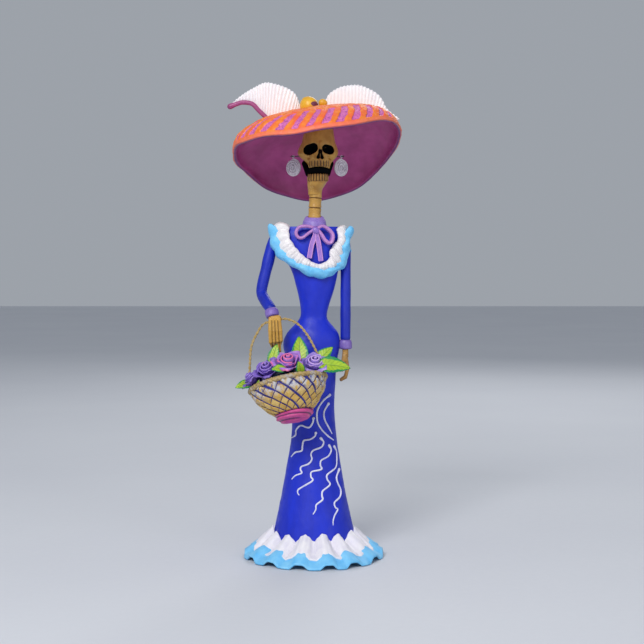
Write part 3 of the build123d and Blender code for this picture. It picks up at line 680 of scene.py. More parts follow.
def make_neck_band():
    """The lilac band that the neck stands in, dipping at the front."""
    heights = np.array([272, 275, 278, 281, 283.5, 285.6, 287.2, 287.9, 287.4, 286])
    radii = np.array([11.2, 11.0, 10.5, 9.9, 9.5, 8.7, 7.7, 6.6, 5.4, 4.8])
    profile = curve(np.stack([radii, heights], -1), 60)
    angle = once_round(120)
    points = level(profile[:, :1], angle, profile[:, 1:], 0.3)
    points[..., 2] -= 1.3 * (1 + np.cos(angle)) * smooth(280, 287, points[..., 2])
    points += 0.3 * lumps(points, 4, 57)[..., None] * unit(points - np.array([0.3, 0, 275]))
    shape = Shape().grid(points, wrap_columns=True, caps=True)
    paint = Paint("band_paint", "9c84d2", "8a70c2", rough=0.45, size=4)
    # painted shade: dark violet in the hollows of the band
    paint.shade_in_hollows("5a4596", 0.6)
    place(shape.object("neck_band_form"), paint.finished(bump=0.35), nodes=("neck_band",))


# ---------------------------------------------------------------- bow
def ribbon(path, width, thick, cup):
    """A strip facing forwards with a hollow along its middle, and the mask of its edges, which get a painted
    highlight.
    """
    side, face = frames(path, (0, -1, 0))
    c = np.linspace(-1, 1, 9)[:, None]
    reach = side[:, None] * c * width[:, None, None] / 2
    top = path[:, None] + reach + face[:, None] * (thick / 2 - cup * (1 - c ** 2))
    bottom = path[:, None] + 0.92 * reach - face[:, None] * thick / 2
    loop = both_sides(top, bottom)
    return loop, np.broadcast_to(np.tile(c[:, 0] ** 2, 2), loop.shape[:2])


def make_bow():
    """Two loops, two tails and the knot."""
    paint = Paint("bow_paint", "b084d2", "9a70c6", rough=0.42, coat=0.1, size=3.5)
    # Painted highlight: lighter pink on the front faces of the loops and on the raised edges of the tails.
    paint.masked("edge", "d79ad8", ragged=0.1)
    # painted shade: dark violet in the hollows of the bow
    paint.shade_in_hollows("6a3f9a", 0.55)
    material = paint.finished(bump=0.25)
    loops = {
        "left": [(-0.7, -16.4, 277.0), (-6, -16.6, 278), (-11.5, -16.4, 277.5), (-14.2, -16, 274.7),
                 (-14.6, -15.8, 271.4), (-12.4, -15.8, 268.6), (-9, -16, 268.8), (-4.9, -16.2, 272),
                 (-0.6, -16.4, 275)],
        "right": [(3.6, -16.2, 276.9), (7.4, -16.6, 278), (12, -16.4, 275.2), (15.2, -16, 271),
                  (14.6, -15.8, 265.9), (12.2, -15.8, 264.2), (9, -16, 266.6), (5.9, -16.2, 271.3),
                  (3.4, -16.4, 274.6)],
    }
    faces = {"left": (0.15, -1, 0.1), "right": (0.6, -0.8, 0.1)}
    for side, line in loops.items():
        path = curve(line, 90)
        t = np.linspace(0, 1, 90)
        radius = 1.2 + 0.25 * np.sin(math.pi * t) + 0.1 * lumps(path, 3, 61)
        # front marks the loop's forward face, which gets the painted highlight
        front = smooth(-0.1, 0.8, np.sin(once_round(20)))
        shape = Shape().tube(path, radius, sides=20, up=faces[side], flat=1.9, edge=front)
        place(shape.object("bow_loop_" + side + "_form"), material, nodes=("bow_loop_" + side,))
    tails = {
        "left": [(0.8, -17.4, 274.5), (0.2, -16.6, 269), (-2, -16.4, 261.7), (-3.8, -15.8, 251.6)],
        "right": [(2.2, -17.4, 274.2), (2.9, -16.6, 269), (4.2, -16.4, 261.7), (5.9, -15.8, 249.2)],
    }
    for side, line in tails.items():
        path = curve(line, 70)
        t = np.linspace(0, 1, 70)
        width = (2.8 + 1.5 * smooth(0.1, 0.5, t)) * np.sqrt(np.clip((1.03 - t) / 0.04, 0.2, 1))
        loop, edge = ribbon(path, width, 1.7, 0.55)
        shape = Shape().grid(loop, wrap_columns=True, caps=True, edge=edge)
        node = "bow_tail_" + side
        place(shape.object(node + "_form", 1), material, nodes=(node,))
    shape = sculpted(lambda p: join(ball(p, (1.3, -16.3, 275), (3.4, 2.8, 3.2)),
                                    ball(p, (2.4, -16.8, 273.6), (2.4, 2.2, 2.2)), 1.0)
                     + 0.15 * lumps(p, 2, 63), (-4, -20.5, 269.5), (7, -11, 280), 0.3)
    knot_paint = Paint("knot_paint", "9a7cce", "8763be", rough=0.45, size=3)
    # painted shade: dark violet in the hollows of the knot
    place(shape.object("bow_knot_form"), knot_paint.shade_in_hollows("5a4596", 0.6).finished(bump=0.3),
          nodes=("bow_knot",))


# ================================================================ hat
def turned(tilt, roll):
    """Across, to the back and upwards of a form tilted forwards or back and rolled sideways."""
    t, r = math.radians(tilt), math.radians(roll)
    across = np.array([math.cos(r), 0, math.sin(r)])
    upward = np.array([-math.sin(r) * math.cos(t), math.sin(t), math.cos(r) * math.cos(t)])
    return np.stack([across, np.cross(upward, across), upward])


HAT_AXES = turned(20.2, 8.2)
HAT_MIDDLE = np.array([3.9, 6.0, 338.2])
HAT_RADIUS = 71.2


def make_hat():
    """The saddle-shaped hat with orange bars raised round its brim, and its plum lining."""
    theta = once_round(900)

    def shell(alpha, radius, rise):
        """The brim's saddle and the low crown, as rows at angles alpha up from the rim."""
        rho = np.cos(alpha)
        rim = 1 + 0.006 * (np.sin(7 * theta + 1) + 0.8 * np.sin(11 * theta + 2.4)) * rho ** 6
        height = rise * np.sin(alpha) - 10.5 * np.cos(2 * theta) * rho ** 2
        return level(radius * rho * rim, theta, height + 0.5 * np.sin(9 * theta + 0.5) * rho ** 8)

    alpha = np.radians(np.concatenate([np.linspace(0, 40, 110), np.linspace(41, 89.6, 44)]))[:, None]
    degrees = np.degrees(alpha)
    outer = shell(alpha, HAT_RADIUS, 34.0)
    turn = theta + np.radians(9) * (1 - (degrees - 7) / 27)
    bar = 0.5 + 0.5 * np.cos(34 * turn + 0.5 * np.sin(5 * theta))
    in_band = smooth(4.5, 8, degrees) * (1 - smooth(34, 38, degrees))
    ragged = 0.22 * lumps(outer, 6, 75) + 0.16 * lumps(outer, 2.4, 76)
    raised = np.maximum(smooth(0.3, 0.62, bar + ragged), 1 - in_band)
    raised = raised * (1 - 0.25 * smooth(40, 60, degrees))
    normal = unit(np.cross(np.gradient(outer, axis=1), np.gradient(outer, axis=0)))
    normal *= np.sign((normal * outer).sum(-1, keepdims=True) + 1e-9)
    relief = 1.3 * raised + 0.5 * lumps(outer, 7, 71) + 0.25 * lumps(outer, 2.5, 72)
    relief = relief + 0.3 * (1 - raised) * lumps(outer, 1.6, 73)
    outer = outer + normal * (relief - 0.5)[..., None]
    inner_alpha = np.concatenate([[0.0], np.linspace(1.5, 40, 46), np.linspace(42, 89.6, 30)])
    inner = shell(np.radians(inner_alpha)[:, None], HAT_RADIUS - 2.6, 31.0)
    inner = inner + 0.3 * lumps(inner, 12, 74)[..., None] * unit(inner + 1e-6)
    lip = shell(np.array([[0.0]]), HAT_RADIUS - 1.1, 34.0) - [0, 0, 1.3]
    points = np.concatenate([outer[::-1], lip, inner])

    def rows(above, at_lip, below):
        """A mask with its values on the upper side, on the lip and underneath."""
        parts = zip((above, at_lip, below), (len(outer), 1, len(inner)))
        return np.concatenate([np.broadcast_to(value, (count, 900)) for value, count in parts])

    near_rim = (1 - smooth(2.0, 6.5, degrees))[::-1]
    shape = Shape().grid(HAT_MIDDLE + points @ HAT_AXES, wrap_columns=True, caps=True, under=rows(0, 0.62, 1),
                         bars=rows(raised[::-1], 0, 0), rim=rows(near_rim, 0, 0), edge=rows(0, 1, 0))
    paint = Paint("hat_paint", "e07ab8", "c25aa2", rough=0.5, size=3.5, contrast=0.4)
    speckle = paint.ramped(paint.noise(1.5, detail=4), 0.53, 0.6)
    paint.over(paint.math("MULTIPLY", speckle, 0.55), "8a3f92")
    bars = paint.mixed(paint.ramped(paint.noise(4, detail=5), 0.35, 0.65), "ee7424", "f88c2c")
    blotch = paint.mixed(paint.ramped(paint.noise(9, detail=4), 0.45, 0.62), bars, "f4663c")
    ragged = paint.math("ADD", paint.mask("bars"), paint.ramped(paint.noise(1.8), 0.3, 0.7, -0.2, 0.2))
    paint.over(paint.ramped(ragged, 0.35, 0.6), blotch)
    paint.over(paint.math("MULTIPLY", paint.mask("rim"), 0.65), "f47a62")
    lining = paint.mixed(paint.ramped(paint.noise(14, detail=4), 0.35, 0.65), "a03a76", "b84a8a")
    paint.over(paint.ramped(paint.mask("under"), 0.55, 0.7), lining)
    paint.over(paint.mask("edge"), "5a2a6a")
    place(shape.object("hat_form"), paint.finished(bump=0.3), nodes=("hat_shell",))


def plume(lower, upper, y, lean, seed):
    """A feather fanned between its lower and upper edges, ridged along its barbs."""
    low, high = (evenly(curve(line, 300), 330) for line in (lower, upper))
    s = np.linspace(0, 1, len(low))[:, None]
    t = np.linspace(0, 1, 34)[None, :]
    flat = low[:, None] * (1 - t[..., None]) + high[:, None] * t[..., None]
    barb = 0.5 + 0.5 * np.cos(2 * math.pi * 25 * s + 1.8 * np.sin(9 * s + 3 * t))
    body = np.sin(math.pi * np.clip(s, 0.02, 0.98)) ** 0.4 * (1 - t ** 6) ** 0.5
    half = 0.35 + 1.6 * body + 0.6 * (barb - 0.5) * smooth(0, 0.15, t)
    half = half + 0.12 * lumps(flat[..., [0, 1, 1]], 2, seed)
    middle = y + lean * t * np.sin(math.pi * s)
    height = flat[..., 1] + 0.5 * (barb - 0.5) * t ** 3
    front, back = (np.stack([flat[..., 0], middle + sign * half, height], -1) for sign in (-1, 1))
    return Shape().grid(both_sides(front, back), wrap_columns=True, caps=True, groove=both_sides(barb, barb))


def make_plumes():
    """The two plumes, the magenta quill and the yellow balls between them."""
    paint = Paint("plume_paint", "fdfbfa", "f4eff0", rough=0.55, stroke=(1, 1, 3), size=4)
    # Painted shade: grey-violet in the grooves between the barbs, and a grey tone in the hollows.
    paint.over(paint.ramped(paint.mask("groove"), 0.3, 0.0, 0.0, 0.35), "cfc4d6")
    paint.shade_in_hollows("d2c6d8", 0.25)
    material = paint.finished(bump=0.25)
    plumes = {  # lower edge, upper edge, place in depth, how far it bellies out, seed
        "plume_left": (
            [(-69.2, 378.2), (-62, 379.6), (-55, 380.2), (-49.5, 378), (-44, 372.4), (-37, 366.2), (-26, 363),
             (-17, 364), (-11.5, 368.5)],
            [(-69.2, 378.8), (-60.5, 386), (-51.3, 391.7), (-40.9, 396.6), (-33.1, 395.9), (-24.8, 393.4),
             (-18.2, 390.1), (-14.2, 385.6), (-11.2, 377)], -8.0, -2.0, 81),
        "plume_right": (
            [(8.6, 377), (14, 371), (25, 369), (38, 368), (50, 367), (60, 366.5), (71.2, 367.8)],
            [(8.6, 381), (12.6, 388.9), (20.9, 394.4), (28.4, 396.2), (36.8, 396.6), (44.3, 394.4),
             (52.7, 389.7), (57.4, 384.2), (61.4, 376.6), (71.4, 368.4)], 2.0, 2.0, 83),
    }
    for name, measures in plumes.items():
        place(plume(*measures).object(name + "_form"), material, nodes=(name,))

    path = curve([(-69.3, -11, 377), (-63.5, -11.6, 379.1), (-58.6, -12, 380.2), (-51.1, -12.4, 379),
                  (-46, -12.8, 374), (-42, -13, 370.2), (-38, -13, 366.4)], 80)
    t = np.linspace(0, 1, 80)
    shape = Shape().tube(path, 1.9 + 0.5 * bell(t / 0.1) + 0.12 * lumps(path, 4, 85), sides=16)
    paint = Paint("quill_paint", "bd5a92", "a3437c", rough=0.45, stroke=(2.5, 1, 1), size=3)
    # painted shade: dark magenta in the hollows of the quill
    place(shape.object("quill_form"), paint.shade_in_hollows("702a58", 0.6).finished(bump=0.3),
          nodes=("plume_left_quill",))

    def knob(name, centre, radius, spot_at, seed):
        """A yellow ball with a dark spot of paint; a spot that is far off doesn't show."""
        radii, room = (radius, radius * 0.95, radius), radius + 1.5
        shape = sculpted(lambda p: ball(p, centre, radii) + 0.35 * lumps(p, 4, seed),
                         np.array(centre) - room, np.array(centre) + room, 0.4)
        away = (np.vstack(shape.points) - spot_at) * [0.75, 0.4, 1.2]
        shape.masks["spot"] = [1 - smooth(2.0, 3.0, np.linalg.norm(away, axis=-1))]
        paint = Paint(name + "_paint", "efc02c", "dfa020", rough=0.4, coat=0.15, size=5)
        # the dark spot is paint; then painted shade: ochre in the hollows
        paint.masked("spot", "6b2a52", ragged=0.1).shade_in_hollows("a06a10", 0.5)
        place(shape.object(name + "_form"), paint.finished(bump=0.25), nodes=(name,))

    knob("crown_ball", (-4, -16, 377.0), 7.7, (0.9, -22, 378), 87)
    knob("crown_bead", (7.3, -17.5, 379.2), 3.6, (0, 0, 0), 88)


# ================================================================ head
SKULL = [  # height, middle across and deep, half width, half depth
    (322, 4.4, -5.6, 8.4, 8.2), (326.5, 4.4, -5.6, 8.8, 8.6), (330, 4.2, -4.8, 9.8, 9.6),
    (333, 3.9, -3, 12.2, 11.5), (336, 3.6, -1.2, 15, 13.5), (339, 3.3, 0, 16.8, 14.3),
    (343, 3.4, 0.6, 16.3, 14.8), (348, 3.7, 1, 14.3, 15), (356, 4.1, 1.5, 12.5, 14),
    (364, 4.5, 2, 10.4, 11.5), (374, 4.9, 2, 6, 6.5),
]
JAW = [
    (303, 0.4, 0, 5.2, 5.2), (307, 0.6, -0.3, 5.5, 5.8), (310, 1.1, -1.4, 6.3, 7.6),
    (313, 1.9, -2.6, 7.4, 9.3), (317, 2.9, -3.3, 8.7, 10), (321, 3.4, -3.6, 9.5, 10.2),
    (325, 3.4, -3.6, 9.5, 10.2),
]
UPPER_ROW, LOWER_ROW = (4.3, -5.4), (3.4, -3.7)  # what the teeth stand round
MOUTH = (3.4, -3.6, 322.4), (7.4, 8.2, 4.2)  # the hollow of the lower jaw: middle and radii


def stacked(p, stations):
    """About the distance outside a body of level ellipses."""
    across, deep, wide, long = stations_at(curve(stations, 160), p[..., 2])
    share = np.sqrt(((p[..., 0] - across) / wide) ** 2 + ((p[..., 1] - deep) / long) ** 2)
    return (share - 1) * np.minimum(wide, long)


def on_row(row, tooth, half_turn, wide, deep):
    """Where tooth 0 to 8 stands in a row of nine; a half is the gap after it."""
    turn = math.radians(half_turn * (tooth / 4 - 1))
    return row[0] + wide * math.sin(turn), row[1] - deep * math.cos(turn)


def gap_lines(p, row, wide, deep, low, high):
    """The mask of the lines painted between the nine teeth of a row."""
    feet = [on_row(row, tooth + 0.5, 59, wide, deep) for tooth in range(8)]
    return 1 - smooth(0.1, 0.75, np.min([rod(p, (*foot, low), (*foot, high), 0.3) for foot in feet], axis=0))


def hollows(p):
    """The two eye sockets and the two slits of the nose."""
    return np.min([
        join(ball(p, (-4.4, -12.8, 341.2), (4.8, 6.2, 4.3)),
             ball(p, (-0.6, -14.2, 342.8), (3.8, 5.6, 3.9)), 2.0),
        join(ball(p, (13.4, -11.8, 341.3), (4.0, 6.2, 3.7)),
             ball(p, (10.0, -13.8, 342.2), (3.1, 5.5, 3.4)), 2.0),
        rod(p, (3.6, -14.9, 335), (4.7, -15.4, 340.8), 1.25, 0.7),
        rod(p, (6.8, -14.7, 334.8), (6.1, -15.4, 340.6), 1.25, 0.7),
    ], axis=0)


def skull_field(p):
    """Ochre skull: brow, cheekbones, nose ridge and upper teeth, with the sockets cut in."""
    field = stacked(p, SKULL)
    field = join(field, rod(p, (5.3, -13.4, 346.5), (5.3, -14.4, 340.0), 1.6, 1.8), 1.6)
    field = join(field, rod(p, (2.2, -13.4, 333.6), (8.2, -13.2, 333.4), 1.5, 1.5), 1.4)
    field = carve(field, hollows(p), 0.6)
    field = carve(field, ball(p, (-6.6, -12.6, 335.0), (3.6, 2.8, 2.2)), 1.4)
    field = carve(field, ball(p, (15.0, -10.8, 334.8), (3.2, 2.6, 2.0)), 1.4)
    for tooth in range(9):
        x, y = on_row(UPPER_ROW, tooth, 60, 9.3, 8.9)
        tip = 328.4 + 0.35 * math.sin(2.4 * tooth) - 0.3 * math.cos(math.radians(15 * tooth - 60))
        field = join(field, rod(p, (x, y + 0.4, 332.4), (x, y, tip), 1.15, 1.05), 0.5)
        gap = on_row(UPPER_ROW, tooth + 0.5, 60, 10.0, 9.7)
        field = carve(field, rod(p, (*gap, 326.5), (*gap, 331.6), 0.55, 0.4), 0.3)
    field = np.maximum(field, 327.6 - 0.02 * (p[..., 0] - 4.0) ** 2 - p[..., 2])
    field = np.maximum(field, p[..., 2] - 373)
    return field + 0.2 * lumps(p, 5, 91) + 0.08 * lumps(p, 1.8, 92)


def jaw_field(p):
    """The lower jaw: a chin running down into the neck, with a row of stubby teeth."""
    field = np.maximum(stacked(p, JAW), p[..., 2] - 319.2)
    for tooth in range(9):
        x, y = on_row(LOWER_ROW, tooth, 58, 8.8, 9.6)
        tip = 320.6 + 0.35 * math.sin(3.1 * tooth)
        field = join(field, rod(p, (x, y, 316.4), (x, y - 0.1, tip), 1.2, 1.05), 0.5)
        gap = on_row(LOWER_ROW, tooth + 0.5, 58, 9.6, 10.5)
        field = carve(field, rod(p, (*gap, 315.0), (*gap, 322.0), 0.6), 0.35)
    field = carve(field, ball(p, *MOUTH), 0.6)
    field = np.maximum(field, 304.6 - p[..., 2])
    return field + 0.18 * lumps(p, 4, 93)


def cheek_field(p):
    """The dark inside of the mouth and the two blackened sides of the jaw."""
    field = ball(p, (3.6, -3.6, 324.6), (9.4, 9.4, 6.0))
    field = join(field, rod(p, (-7.6, -3.4, 330.5), (-5.0, -5.2, 321.5), 2.6, 2.0), 1.6)
    field = join(field, rod(p, (14.4, -3.2, 330.5), (11.8, -5.2, 321.5), 2.1, 1.8), 1.6)
    return field + 0.12 * lumps(p, 3, 94)


def make_head():
    """Skull, jaw, the dark mouth between them and the ringed neck."""
    shape = sculpted(skull_field, (-16, -20, 323), (23, 19, 375), 0.32)
    points = np.vstack(shape.points)
    black = 1 - smooth(-0.05, 0.45, hollows(points))
    black = np.maximum(black, 1 - smooth(326.6, 327.4, points[:, 2] + 0.02 * (points[:, 0] - 4) ** 2))
    wash = smooth(-0.3, 1.0, -ball(points, (4.0, -13.0, 333.0), (11.5, 6.0, 5.0)))
    shape.masks["black"] = [black]
    shape.masks["wash"] = [wash * (1 - black)]
    shape.masks["line"] = [gap_lines(points, UPPER_ROW, 9.6, 9.3, 327, 331.8)]
    bone = Paint("bone_paint", "cfa04a", "b08035", rough=0.45, coat=0.0, size=6)
    patches = bone.ramped(bone.noise(3.5, detail=4), 0.45, 0.7, 0.0, 0.7)
    bone.over(bone.math("MULTIPLY", patches, bone.mask("wash")), "8f4f22")
    # painted shade: dark brown in the hollows of the bone; painted highlight: ivory on its raised edges
    bone.shade_in_hollows("5e3414", 0.9, 0.42, 0.495).highlight_edges("e6c274", 0.45)
    bone.over(bone.math("MULTIPLY", bone.mask("line"), 0.85), "3c1e0a")
    bone.masked("black", "07080b", ragged=0.06)
    dull = bone.ramped(bone.mask("black"), 0.3, 0.7)
    bone.rough = bone.math("MAXIMUM", bone.rough, dull)
    bone.links.new(bone.ramped(dull, 0.0, 1.0, 0.5, 0.0), bone.shader.inputs["Specular IOR Level"])
    bone_material = bone.finished(bump=0.3)
    place(shape.object("skull_form"), bone_material, nodes=("skull",))

    shape = sculpted(jaw_field, (-8, -17, 304), (15, 9, 324), 0.3)
    points = np.vstack(shape.points)
    inside = 1 - smooth(-0.1, 0.35, ball(points, *MOUTH))
    shape.masks["black"] = [inside]
    shape.masks["wash"] = [smooth(4.0, 7.0, -points[:, 1]) * smooth(313, 316, points[:, 2]) * (1 - inside)]
    shape.masks["line"] = [gap_lines(points, LOWER_ROW, 9.2, 10.0, 315.8, 321.5)]
    place(shape.object("jaw_form"), bone_material, nodes=("jaw",))

    shape = sculpted(cheek_field, (-14, -15, 314), (20, 9, 338), 0.45)
    dark = Paint("mouth_paint", "08090c", "050507", rough=0.9, size=4)
    dark.shader.inputs["Specular IOR Level"].default_value = 0.05
    place(shape.object("jaw_sides"), dark.finished(bump=0.2))

    height = np.linspace(284, 312, 120)
    path = np.stack([0.3 + 0.05 * (height - 284), 0 * height, height], -1)
    upper_cut, lower_cut = 302.0, 293.7
    depths = {upper_cut: 0.75, lower_cut: 0.75, 311: 0.3}
    cuts = sum(bell((height - z) / 0.42) * depth for z, depth in depths.items())
    swell = 0.18 * np.cos((height - lower_cut) * 2 * math.pi / (upper_cut - lower_cut))
    radius = 5.25 + swell - cuts + 0.08 * lumps(path, 4, 95)
    dark_ring = np.clip(sum(bell((height - z) / 0.55) for z in (upper_cut, lower_cut)), 0, 1)
    shape = Shape().tube(path, radius, sides=48, up=(0, -1, 0), ring=dark_ring)
    neck = Paint("neck_paint", "cda24e", "b98a3e", rough=0.42, coat=0.1, stroke=(1, 1, 2.5), size=5)
    neck.over(neck.ramped(neck.noise(3, detail=4), 0.52, 0.72, 0.0, 0.45), "96611f")
    neck.over(neck.ramped(neck.mask("ring"), 0.35, 0.8, 0.0, 0.9), "4a2408")
    place(shape.object("neck_form"), neck.finished(bump=0.3), nodes=("neck",))


EARS = {"left": (-17.4, -32.0, 1.0), "right": (23.0, 38.0, -1.0)}  # across, turn of the face, way of winding
EAR_LEVEL, EAR_DROP, WINDINGS, SPIRAL_REACH = 336.6, 9.3, 3.3, 6.6


def make_earrings():
    """A dished spiral disc on each ear wire, with the eye that it hangs from."""
    silver = Paint("silver_paint", "fdf8fb", "e8dcea", rough=0.2, coat=0.4, size=3)
    # painted shade: grey in the grooves between the windings
    silver.shade_in_hollows("77747f", 0.45)
    material = silver.finished(bump=0.15, depth=0.08)
    for side, (across, turn, way) in EARS.items():
        t = math.radians(turn)
        face = np.array([math.sin(t), -math.cos(t), 0])
        plane = np.array([[math.cos(t), math.sin(t), 0], [0, 0, 1.0]])
        pin = np.array([across, -1.0, EAR_LEVEL])
        middle = pin - [0, 0, EAR_DROP]

        def spoke(angle):
            return np.stack([np.cos(angle), np.sin(angle)], -1) @ plane

        shape = Shape()
        s = np.linspace(0, 1, 420)
        path = middle + (0.7 + SPIRAL_REACH * s[:, None] ** 0.85) * spoke(
            way * 2 * math.pi * WINDINGS * (s - 1) + math.pi / 2)
        path = path + face * (1.0 - 0.9 * s[:, None] ** 1.5)
        shape.tube(path, 0.62 - 0.12 * s, sides=10, up=face)
        rows, around = np.linspace(0, 1, 26)[:, None], once_round(90)
        reach = 7.2 * np.sqrt(rows)
        share = np.clip((reach - 0.7) / SPIRAL_REACH, 0, 1)
        twist = 0.42 * np.cos(way * around + 2 * math.pi * WINDINGS * share ** 1.18)
        dish = middle + reach[..., None] * spoke(around)
        dish = dish + face * (0.25 - 0.5 * rows ** 2 + 0.6 * twist * (1 - rows * 0.4))[..., None]
        shape.grid(np.concatenate([dish, dish[::-1] - face * 0.55]), wrap_columns=True, caps=True)
        eye = pin + 0.9 * spoke(once_round(40)[0])
        shape.tube(np.vstack([eye, eye[:2]]), 0.32, sides=8, up=face)
        shape.tube(pin + np.array([[0, 0, -0.9], [0, 0, -1.9]]), 0.45, sides=8, up=(0, 1, 0))
        place(shape.object("earring_" + side + "_form"), material, "earring_" + side,
              nodes=("earring_" + side,))


# ================================================================ hands
def make_hands():
    """The hand round the basket's handle and the hanging one, with fingers as bent rods."""
    skin = Paint("hand_paint", "e0b04c", "c8943a", rough=0.42, coat=0.1, stroke=(1, 1, 3), size=4)
    # painted shade: dark brown in the hollows of the hand; painted highlight: pale ochre on its raised edges
    skin.shade_in_hollows("5a2e10", 0.95, 0.43, 0.5).highlight_edges("ecd08c", 0.4)
    grip = np.array([-32.26, -21.0, 199.62])

    def left(p):
        field = block(p, grip + (0.1, -0.2, 1.6), (5.2, 3.4, 3.6), 2.4)
        for finger in range(4):
            s = (finger - 1.5) * 2.55
            knuckle = grip + (s * 0.95, -2.2, 1.5)
            joint = grip + (s * 1.12 + 0.5, -3.0, -8.0)
            tip = grip + (s * 1.12 + 0.9, -2.6, -17.2 + 0.5 * finger)
            end = grip + (s * 0.85 + 1.0, 1.3, -20.8 + 0.5 * finger)
            one = join(rod(p, knuckle, joint, 1.6, 1.6), rod(p, joint, tip, 1.6, 1.5), 0.4)
            one = join(one, rod(p, tip, end, 1.5, 1.2), 0.5)
            field = join(field, one, 0.2)
        thumb = rod(p, grip + (3.6, -0.6, -17.0), grip + (4.2, -0.2, -24.5), 1.4, 1.2)
        return join(field, thumb, 0.6) + 0.12 * lumps(p, 2.2, 101)

    shape = sculpted(left, (-42, -30, 174), (-22, -13, 206), 0.28)
    points = np.vstack(shape.points) - grip
    down = np.clip(1.5 - points[:, 2], 0, 19) / 18.7
    gaps = [gap * (0.95 + 0.17 * down) + 0.9 * down for gap in (-2.55, 0, 2.55)]
    lines = sum(bell((points[:, 0] - gap) / 0.38) for gap in gaps)
    shape.masks["line"] = [lines * (points[:, 2] < 1.0)]
    # Painted shade: dark brown lines in the grooves between the fingers.
    skin.over(skin.math("MULTIPLY", skin.mask("line"), 0.9), "2e1606")
    place(shape.object("hand_left_form"), skin.finished(bump=0.3, stroke=(1, 1, 4)),
          nodes=("hand_left",))

    # Painted shade: the hanging hand gets a darker brown copy of the hand paint, and a darker tone in its
    # hollows.
    brown = Paint("shaded_hand_paint", "b98d48", "96662c", rough=0.45, stroke=(1, 1, 3), size=4)
    brown.shade_in_hollows("3a1808", 0.95, 0.43, 0.5)

    def right(p):
        field = block(p, (26.4, -1.0, 171.8), (2.5, 4.2, 4.6), 2.0)
        for finger in range(4):
            y = -1.0 + (finger - 1.5) * 2.5
            field = join(field, rod(p, (26.6, y, 170), (28.3, y, 159), 1.6, 1.5), 0.3)
            field = join(field, rod(p, (28.3, y, 159), (26.4, y, 151.8), 1.5, 1.4), 0.4)
            field = join(field, rod(p, (26.4, y, 151.8), (22.8, y * 0.9, 149.4), 1.4, 1.2), 0.4)
        field = join(field, rod(p, (25.2, -4.4, 171), (23.8, -6.0, 163), 1.5, 1.3), 0.7)
        field = join(field, rod(p, (23.8, -6.0, 163), (23.4, -5.4, 157.6), 1.3, 1.1), 0.4)
        return field + 0.12 * lumps(p, 2.2, 103)

    shape = sculpted(right, (19, -10, 146), (32, 7, 178), 0.28)
    place(shape.object("hand_right_form"), brown.finished(bump=0.3, stroke=(1, 1, 4)),
          nodes=("hand_right",))


# ================================================================ basket
BASKET_AXES = turned(16.6, 12.75)
BASKET_ACROSS, BASKET_BACK, BASKET_UP = BASKET_AXES
BASKET_MIDDLE = np.array([-20.5, -47.5, 148.6])


def in_basket(local):
    """Points across, to the back and above the rim, in the shared frame."""
    return BASKET_MIDDLE + np.asarray(local, float) @ BASKET_AXES


WALL = curve([(14.4, -22.5), (19.4, -18.2), (22.7, -14.0), (27.4, -8.0), (30.2, 0.0)], 120)


def make_basket():
    """The dark bowl, then everything that covers it."""
    inside_bottom = -20.6
    inner = np.clip(WALL[::-1] - [2.4, 0], [9.5, inside_bottom], None)
    profile = np.vstack([[[0.2, -22.5]], WALL, [[29.6, 0.9], [28.6, 0.9]], inner, [[0.2, inside_bottom]]])
    local = level(profile[:, :1], once_round(220), profile[:, 1:])
    local += 0.25 * lumps(local, 6, 111)[..., None] * [1, 1, 0]
    shape = Shape().grid(in_basket(local), wrap_columns=True, caps=True)
    blue = Paint("bowl_paint", "2c2a86", "1d1a5c", rough=0.5, size=4)
    # painted shade: near-black blue in the hollows of the bowl
    place(shape.object("bowl_form"), blue.shade_in_hollows("120f38", 0.6).finished(bump=0.35), "basket",
          ("basket_bowl",))
    make_weave()
    make_braid()
    make_foot()
    make_handle()
    make_filler()


